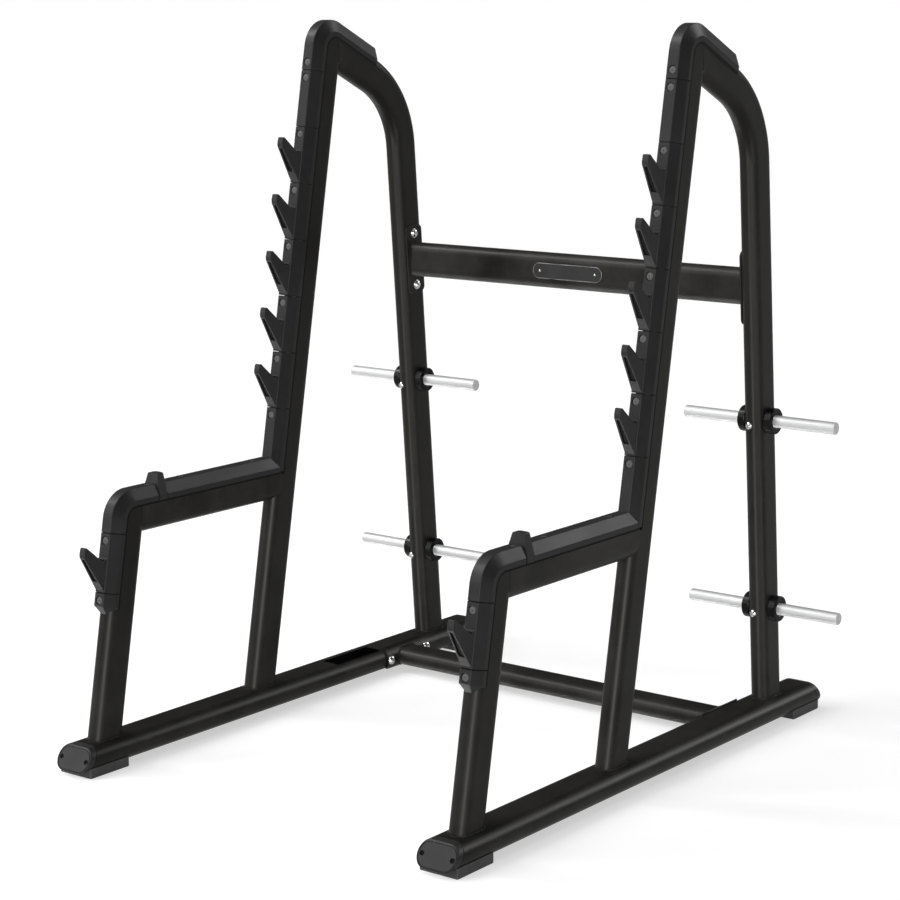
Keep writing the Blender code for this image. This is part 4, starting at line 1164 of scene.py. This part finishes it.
# Bolt heads with a socket and washers: radius and height of each ring above the seat
boltSet = {"steps": 32,
           "head": [(0.0, -0.002), (0.0110, -0.002), (0.0110, 0.0006), (0.0106, 0.0020), (0.0092, 0.0038),
                    (0.0068, 0.0052), (0.0050, 0.0057), (0.0036, 0.0058), (0.0033, 0.0050),
                    (0.0032, 0.0030), (0.0, 0.0026)],
           "washer": [(0.0, -0.001), (0.0128, -0.001), (0.0130, 0.0008), (0.0124, 0.0014), (0.0, 0.0014)]}


# A head or a washer turned about the normal of its seat
def boltPart(kind, seat, normal, scale=1.0):
    return turnedPart(np.array(boltSet[kind]) * scale, seat, normal, boltSet["steps"])


# A set screw in each post's front round, beside the collar on the -X side: its turn from -Y and its drop
# from the horn
setScrewSet = {"turn": {"left": 28.0, "right": 13.0}, "drop": {"left": 0.0120, "right": 0.0060},
               "sink": 0.0004, "scale": 0.9}
setScrewParts = []
for side, x in sides.items():
    for height in hornSet["levels"].values():
        middle = rearAxisAt(height - setScrewSet["drop"][side])
        middle = middle + inwardOf(downRear) * (rackSet["tubeDepth"] / 2 - tubeRound)
        turn = math.radians(setScrewSet["turn"][side])
        normal = np.array((-math.sin(turn), *(inwardOf(downRear) * math.cos(turn))))
        seat = np.array((x, *middle)) + normal * (tubeRound - setScrewSet["sink"])
        setScrewParts.append(boltPart("head", seat, normal, setScrewSet["scale"]))

# Upper crossbeam with its end plates and bolts
beamSet = {"z": 1.1492, "height": 0.0936, "plateLength": 0.187, "plateWidth": 0.068, "plateThick": 0.004,
           "plateCorner": 0.015, "boltReach": 0.0717, "boltLift": 0.0014, "short": 0.001,
           # Inset and distance from the post of each ring of an end plate
           "plateRings": [(0.0006, 0.0), (0.0, 0.0006), (0.0, 0.0030), (0.0004, 0.0037), (0.0012, 0.0040)]}
postSide = rackSet["spacing"] / 2 - tubeRound - gap
beamMiddle = rearAxisAt(beamSet["z"])
along = -downRear
acrossPlate = np.array((along[1], -along[0]))
boltParts = []


# A straight beam across the rack from an outline in the side plane, between x = -reach and x = reach
def crossBeam(outline, middle, reach):
    rows = [np.column_stack((np.full(len(outline), x), outline + middle)) for x in (-reach, reach)]
    return closedSweep(np.stack(rows))


# Weld beads: points along the loop, and the radius of each kind
weldSet = {"count": 220, "upper": 0.0026, "lower": 0.0024, "foot": 0.0030, "footCount": 200, "steps": 10,
           "ripple": 0.14, "waves": 90, "swell": 0.10, "swells": 7, "phase": 1.3,
           # A direction that no loop runs along
           "askew": (0.31, 0.17, 0.93)}


# A raised bead along a closed loop: a circle carried round, its radius x (1 + ripple waves + slow swells)
def beadPart(loop, radius):
    ahead = unitRows(np.roll(loop, -1, axis=0) - np.roll(loop, 1, axis=0))
    first = unitRows(np.cross(ahead, weldSet["askew"]))
    second = np.cross(ahead, first)
    share = np.arange(len(loop)) / len(loop) * 2 * math.pi
    size = radius * (1 + weldSet["ripple"] * np.sin(share * weldSet["waves"])
                     + weldSet["swell"] * np.sin(share * weldSet["swells"] + weldSet["phase"]))
    angle = np.arange(weldSet["steps"]) / weldSet["steps"] * 2 * math.pi
    ring = first[:, None] * np.cos(angle)[None, :, None] + second[:, None] * np.sin(angle)[None, :, None]
    surface = loop[:, None] + ring * size[:, None, None]
    return gridPart(np.concatenate((surface, surface[:1])))


# Even spacing along a closed outline, so that a bead's ripples are equally long
def evenLoop(outline, count):
    closed = np.concatenate((outline, outline[:1]))
    length = np.concatenate(([0.0], np.cumsum(np.linalg.norm(np.diff(closed, axis=0), axis=1))))
    stations = np.arange(count) / count * length[-1]
    return np.stack([np.interp(stations, length, column) for column in closed.T], axis=1)


beamOutline = ovalOutline(rackSet["tubeWidth"], beamSet["height"])
beamParts = [crossBeam(beamOutline, beamMiddle, postSide - beamSet["short"])]
weldParts = []
for sign in (-1, 1):
    beamParts.append(slabPart(
        lambda inset: roundedRectangle(beamSet["plateWidth"] - 2 * inset, beamSet["plateLength"] - 2 * inset,
                                       beamSet["plateCorner"] - inset),
        beamSet["plateRings"], (sign * postSide, *beamMiddle), (0, *acrossPlate), (0, *along), (-sign, 0, 0)))
    plateFace = sign * (postSide - beamSet["plateThick"])
    inward = np.array((-sign, 0.0, 0.0))
    for reach in (-beamSet["boltReach"], beamSet["boltReach"]):
        seat = np.array((plateFace, *(beamMiddle + along * reach)))
        boltParts.append(boltPart("washer", seat, inward))
        boltParts.append(boltPart("head", seat + inward * beamSet["boltLift"], inward))
    loop = evenLoop(beamOutline, weldSet["count"])
    loop = np.column_stack((np.full(len(loop), plateFace), loop + beamMiddle))
    weldParts.append(beadPart(loop, weldSet["upper"]))
makePiece("upperCrossbeam", beamParts, ["tube"], ["upper_crossbeam"])

# Lower crossbeam with a bolted saddle round each base tube's inner side
lowerSet = {"y": 0.4375, "z": 0.0420, "depth": 0.088, "height": 0.049, "short": 0.001,
            "saddleLength": 0.185, "saddleThick": 0.005, "below": 52.0, "above": 75.0, "angleSteps": 25,
            "corner": 0.020, "cornerFrom": 0.15, "cornerSteps": 9, "lowPull": 0.35, "edge": 0.0008,
            "bolts": ((0.358, 0.043), (0.517, 0.050)), "washerScale": 0.95, "headScale": 1.12,
            "washerSink": 0.0006, "headLift": 0.0012}
roundMiddle = rackSet["spacing"] / 2 - (baseSet["width"] - baseSet["height"]) / 2
baseRound = baseSet["height"] / 2
saddleInner = baseRound + gap
saddleOuter = saddleInner + lowerSet["saddleThick"]
lowerOutline = ovalOutline(lowerSet["depth"], lowerSet["height"])
lowerMiddle = np.array((lowerSet["y"], lowerSet["z"]))
lowerParts = [crossBeam(lowerOutline, lowerMiddle, roundMiddle - baseRound - gap - lowerSet["short"])]


# The saddle: rows along y, each a closed band between two radii; its angles draw in round the corners
def saddlePart(sign):
    length, corner = lowerSet["saddleLength"], lowerSet["corner"]
    turns = np.linspace(lowerSet["cornerFrom"], math.pi / 2, lowerSet["cornerSteps"])
    distance = np.concatenate(([0.0], corner * (1 - np.cos(turns)), [length / 2]))
    distance = np.concatenate((distance, length - distance[-2::-1]))
    near = np.minimum(distance, length - distance)
    pulled = np.where(near < corner, corner - np.sqrt(np.maximum(corner ** 2 - (corner - near) ** 2, 0)), 0)
    low = -math.radians(lowerSet["below"]) + pulled / saddleOuter * lowerSet["lowPull"]
    high = math.radians(lowerSet["above"]) - pulled / saddleOuter
    angle = low[:, None] + (high - low)[:, None] * np.linspace(0, 1, lowerSet["angleSteps"])
    side = saddleOuter - lowerSet["edge"]
    face = saddleOuter - np.where(near == 0, lowerSet["edge"], 0.0)[:, None]
    bands = [(saddleInner, angle), (side, angle[:, -1:]), (face, angle[:, ::-1]), (side, angle[:, :1])]
    band = np.concatenate([np.stack((radius * np.cos(turn), radius * np.sin(turn)), axis=2)
                           for radius, turn in bands], axis=1)
    x = sign * (roundMiddle - band[..., 0])
    y = np.broadcast_to((lowerSet["y"] - length / 2 + distance)[:, None], x.shape)
    return closedSweep(np.stack((x, y, rackSet["baseMiddle"] + band[..., 1]), axis=2))


for sign in (-1, 1):
    lowerParts.append(saddlePart(sign))
    for y, z in lowerSet["bolts"]:
        climb = z - rackSet["baseMiddle"]
        normal = unit(np.array((-sign * math.sqrt(saddleOuter ** 2 - climb ** 2), 0.0, climb)))
        seat = np.array((sign * roundMiddle, y, rackSet["baseMiddle"]))
        seat = seat + normal * (saddleOuter - lowerSet["washerSink"])
        head = seat + normal * lowerSet["headLift"]
        boltParts.append(boltPart("washer", seat, normal, lowerSet["washerScale"]))
        boltParts.append(boltPart("head", head, normal, lowerSet["headScale"]))
    loop = evenLoop(lowerOutline, weldSet["count"])
    climb = loop[:, 1] + lowerSet["z"] - rackSet["baseMiddle"]
    depthIn = np.sqrt(np.maximum((baseRound + lowerSet["saddleThick"]) ** 2 - climb ** 2, 0))
    loop = np.column_stack((sign * (roundMiddle - depthIn), loop + lowerMiddle))
    weldParts.append(beadPart(loop, weldSet["lower"]))
makePiece("lowerCrossbeam", lowerParts, ["tube"], ["lower_crossbeam"])

# Blank badge plate with a raised rim and two rivets
badgeSet = {"length": 0.2185, "height": 0.041, "plate": 0.0018, "rivetX": 0.087, "rivetSteps": 24,
            # Inset and distance from the beam of each ring, and radius and height of the rivets' rings
            "rings": [(0.0004, 0.0), (0.0, 0.0004), (0.0, 0.0021), (0.0004, 0.0025), (0.0016, 0.0025),
                      (0.0022, 0.0019), (0.0030, 0.0018)],
            "rivet": [(0.0, -0.001), (0.0035, -0.001), (0.0035, 0.0), (0.0030, 0.0009), (0.0018, 0.0015),
                      (0.0, 0.0017)]}
badgeY = beamMiddle[0] - tubeRound - gap
badgeParts = [slabPart(
    lambda inset: ovalOutline(badgeSet["length"] - 2 * inset, badgeSet["height"] - 2 * inset),
    badgeSet["rings"], (0, badgeY, beamSet["z"]), (1, 0, 0), (0, 0, 1), (0, -1, 0))]
for sign in (-1, 1):
    seat = (sign * badgeSet["rivetX"], badgeY - badgeSet["plate"], beamSet["z"])
    rivet = turnedPart(badgeSet["rivet"], seat, (0, -1, 0), badgeSet["rivetSteps"])
    badgeParts.append(dict(rivet, look=1))
makePiece("badgePlate", badgeParts, ["badge", "bolt"], ["badge_plate"])
print("crossbeams and badge made")


# Weld beads where the posts stand on the base tubes: the tube's outline on the base tube's top
def footLoop(point, run, firstDepth):
    outline = evenLoop(tubeOutline, weldSet["footCount"])
    place = point + inwardOf(run) * (outline[:, 1:] + firstDepth)
    share = (rackSet["baseTop"] - place[:, 1]) / run[1]
    return np.column_stack((outline[:, 0], place + share[:, None] * run))


footLoops = [footLoop(uprightFace, upPost, faceToAxis), footLoop(frontFace, upPost, faceToAxis),
             footLoop(rearOuter, downRear, rackSet["tubeDepth"] / 2)]
for side, x in sides.items():
    beads = [beadPart(loop + (x, 0, 0), weldSet["foot"]) for loop in footLoops]
    makePiece(side + "FootWelds", beads, ["tube"])
makePiece("beamWelds", weldParts, ["tube"])
makePiece("beamBolts", boltParts, ["bolt"])
makePiece("setScrews", setScrewParts, ["bolt"])

# Fine dark lines where the bent tubes were joined: a thin upright band on each flat side
seamSet = {"width": 0.0011, "sink": 0.0008, "stand": 0.00012, "reach": 0.0140,
           # Height of each line's ends above the seam, or below the brace for the top one
           "topFrom": 0.024, "topUnder": 0.012, "stepFrom": 0.022, "stepTo": 0.070}


# A flat box on each side of the tube, between two heights, a little in front of the corner
def seamBand(corner, low, high):
    front = corner[0] - seamSet["reach"]
    back = front + seamSet["width"]
    bands = []
    for sign in (-1, 1):
        near, far = sign * (tubeRound - seamSet["sink"]), sign * (tubeRound + seamSet["stand"])
        corners = ((near, front), (near, back), (far, back), (far, front))
        bands.append(closedSweep(np.array([[(*spot, height) for spot in corners] for height in (low, high)])))
    return bands


braceAtSeam = braceOuter[1] - (topSeam[0] - braceOuter[0]) * math.tan(slope)
seamBands = seamBand(topSeam, topSeam[1] + seamSet["topFrom"], braceAtSeam - seamSet["topUnder"])
seamBands += seamBand(stepSeam, stepSeam[1] + seamSet["stepFrom"], stepSeam[1] + seamSet["stepTo"])
for side, x in sides.items():
    makePiece(side + "SeamLines", [moved(band, (x, 0, 0)) for band in seamBands], ["shadow"])

# Blank strip on the left base tube, with the inset and height of each ring
stripSet = {"middle": (-0.5443, 0.2445), "width": 0.0514, "length": 0.185, "corner": 0.003,
            "rings": ((0.0, 0.0), (0.0, 0.00018), (0.0004, 0.0003))}
stripPart = slabPart(
    lambda inset: roundedRectangle(stripSet["width"] - 2 * inset, stripSet["length"] - 2 * inset,
                                   stripSet["corner"]),
    stripSet["rings"], (*stripSet["middle"], rackSet["baseTop"]))
makePiece("blankStrip", [stripPart], ["strip"])

# Pale studio floor, glowing a little so that it stays near white
floorSet = {"size": 1500.0, "colour": grey(0.55), "patchColour": grey(0.539), "patch": 3.0, "rough": 0.9,
            "glow": 0.55}
floorMaterial = bpy.data.materials.new("paleFloor")
floorMaterial.use_nodes = True
floorTree = floorMaterial.node_tree
place = addNode(floorTree, "ShaderNodeTexCoord").outputs["Object"]
patches = addNode(floorTree, "ShaderNodeTexNoise", Vector=place, Scale=floorSet["patch"], Detail=3.0)
floorColour = overNode(floorTree, patches.outputs[0], floorSet["colour"], floorSet["patchColour"])
floorShader = floorTree.nodes["Principled BSDF"]
floorTree.links.new(floorColour, floorShader.inputs["Base Color"])
for label, value in (("Roughness", floorSet["rough"]), ("Emission Color", (1.0, 1.0, 1.0, 1.0)),
                     ("Emission Strength", floorSet["glow"]), ("Specular IOR Level", 0.0)):
    floorShader.inputs[label].default_value = value
reach = floorSet["size"]
floorMesh = bpy.data.meshes.new("studioFloor")
floorCorners = [(-reach, -reach, 0), (reach, -reach, 0), (reach, reach, 0), (-reach, reach, 0)]
floorMesh.from_pydata(floorCorners, [], [(0, 1, 2, 3)])
floorMesh.materials.append(floorMaterial)
floor = bpy.data.objects.new("studioFloor", floorMesh)
scene.collection.objects.link(floor)
print("details and floor made")
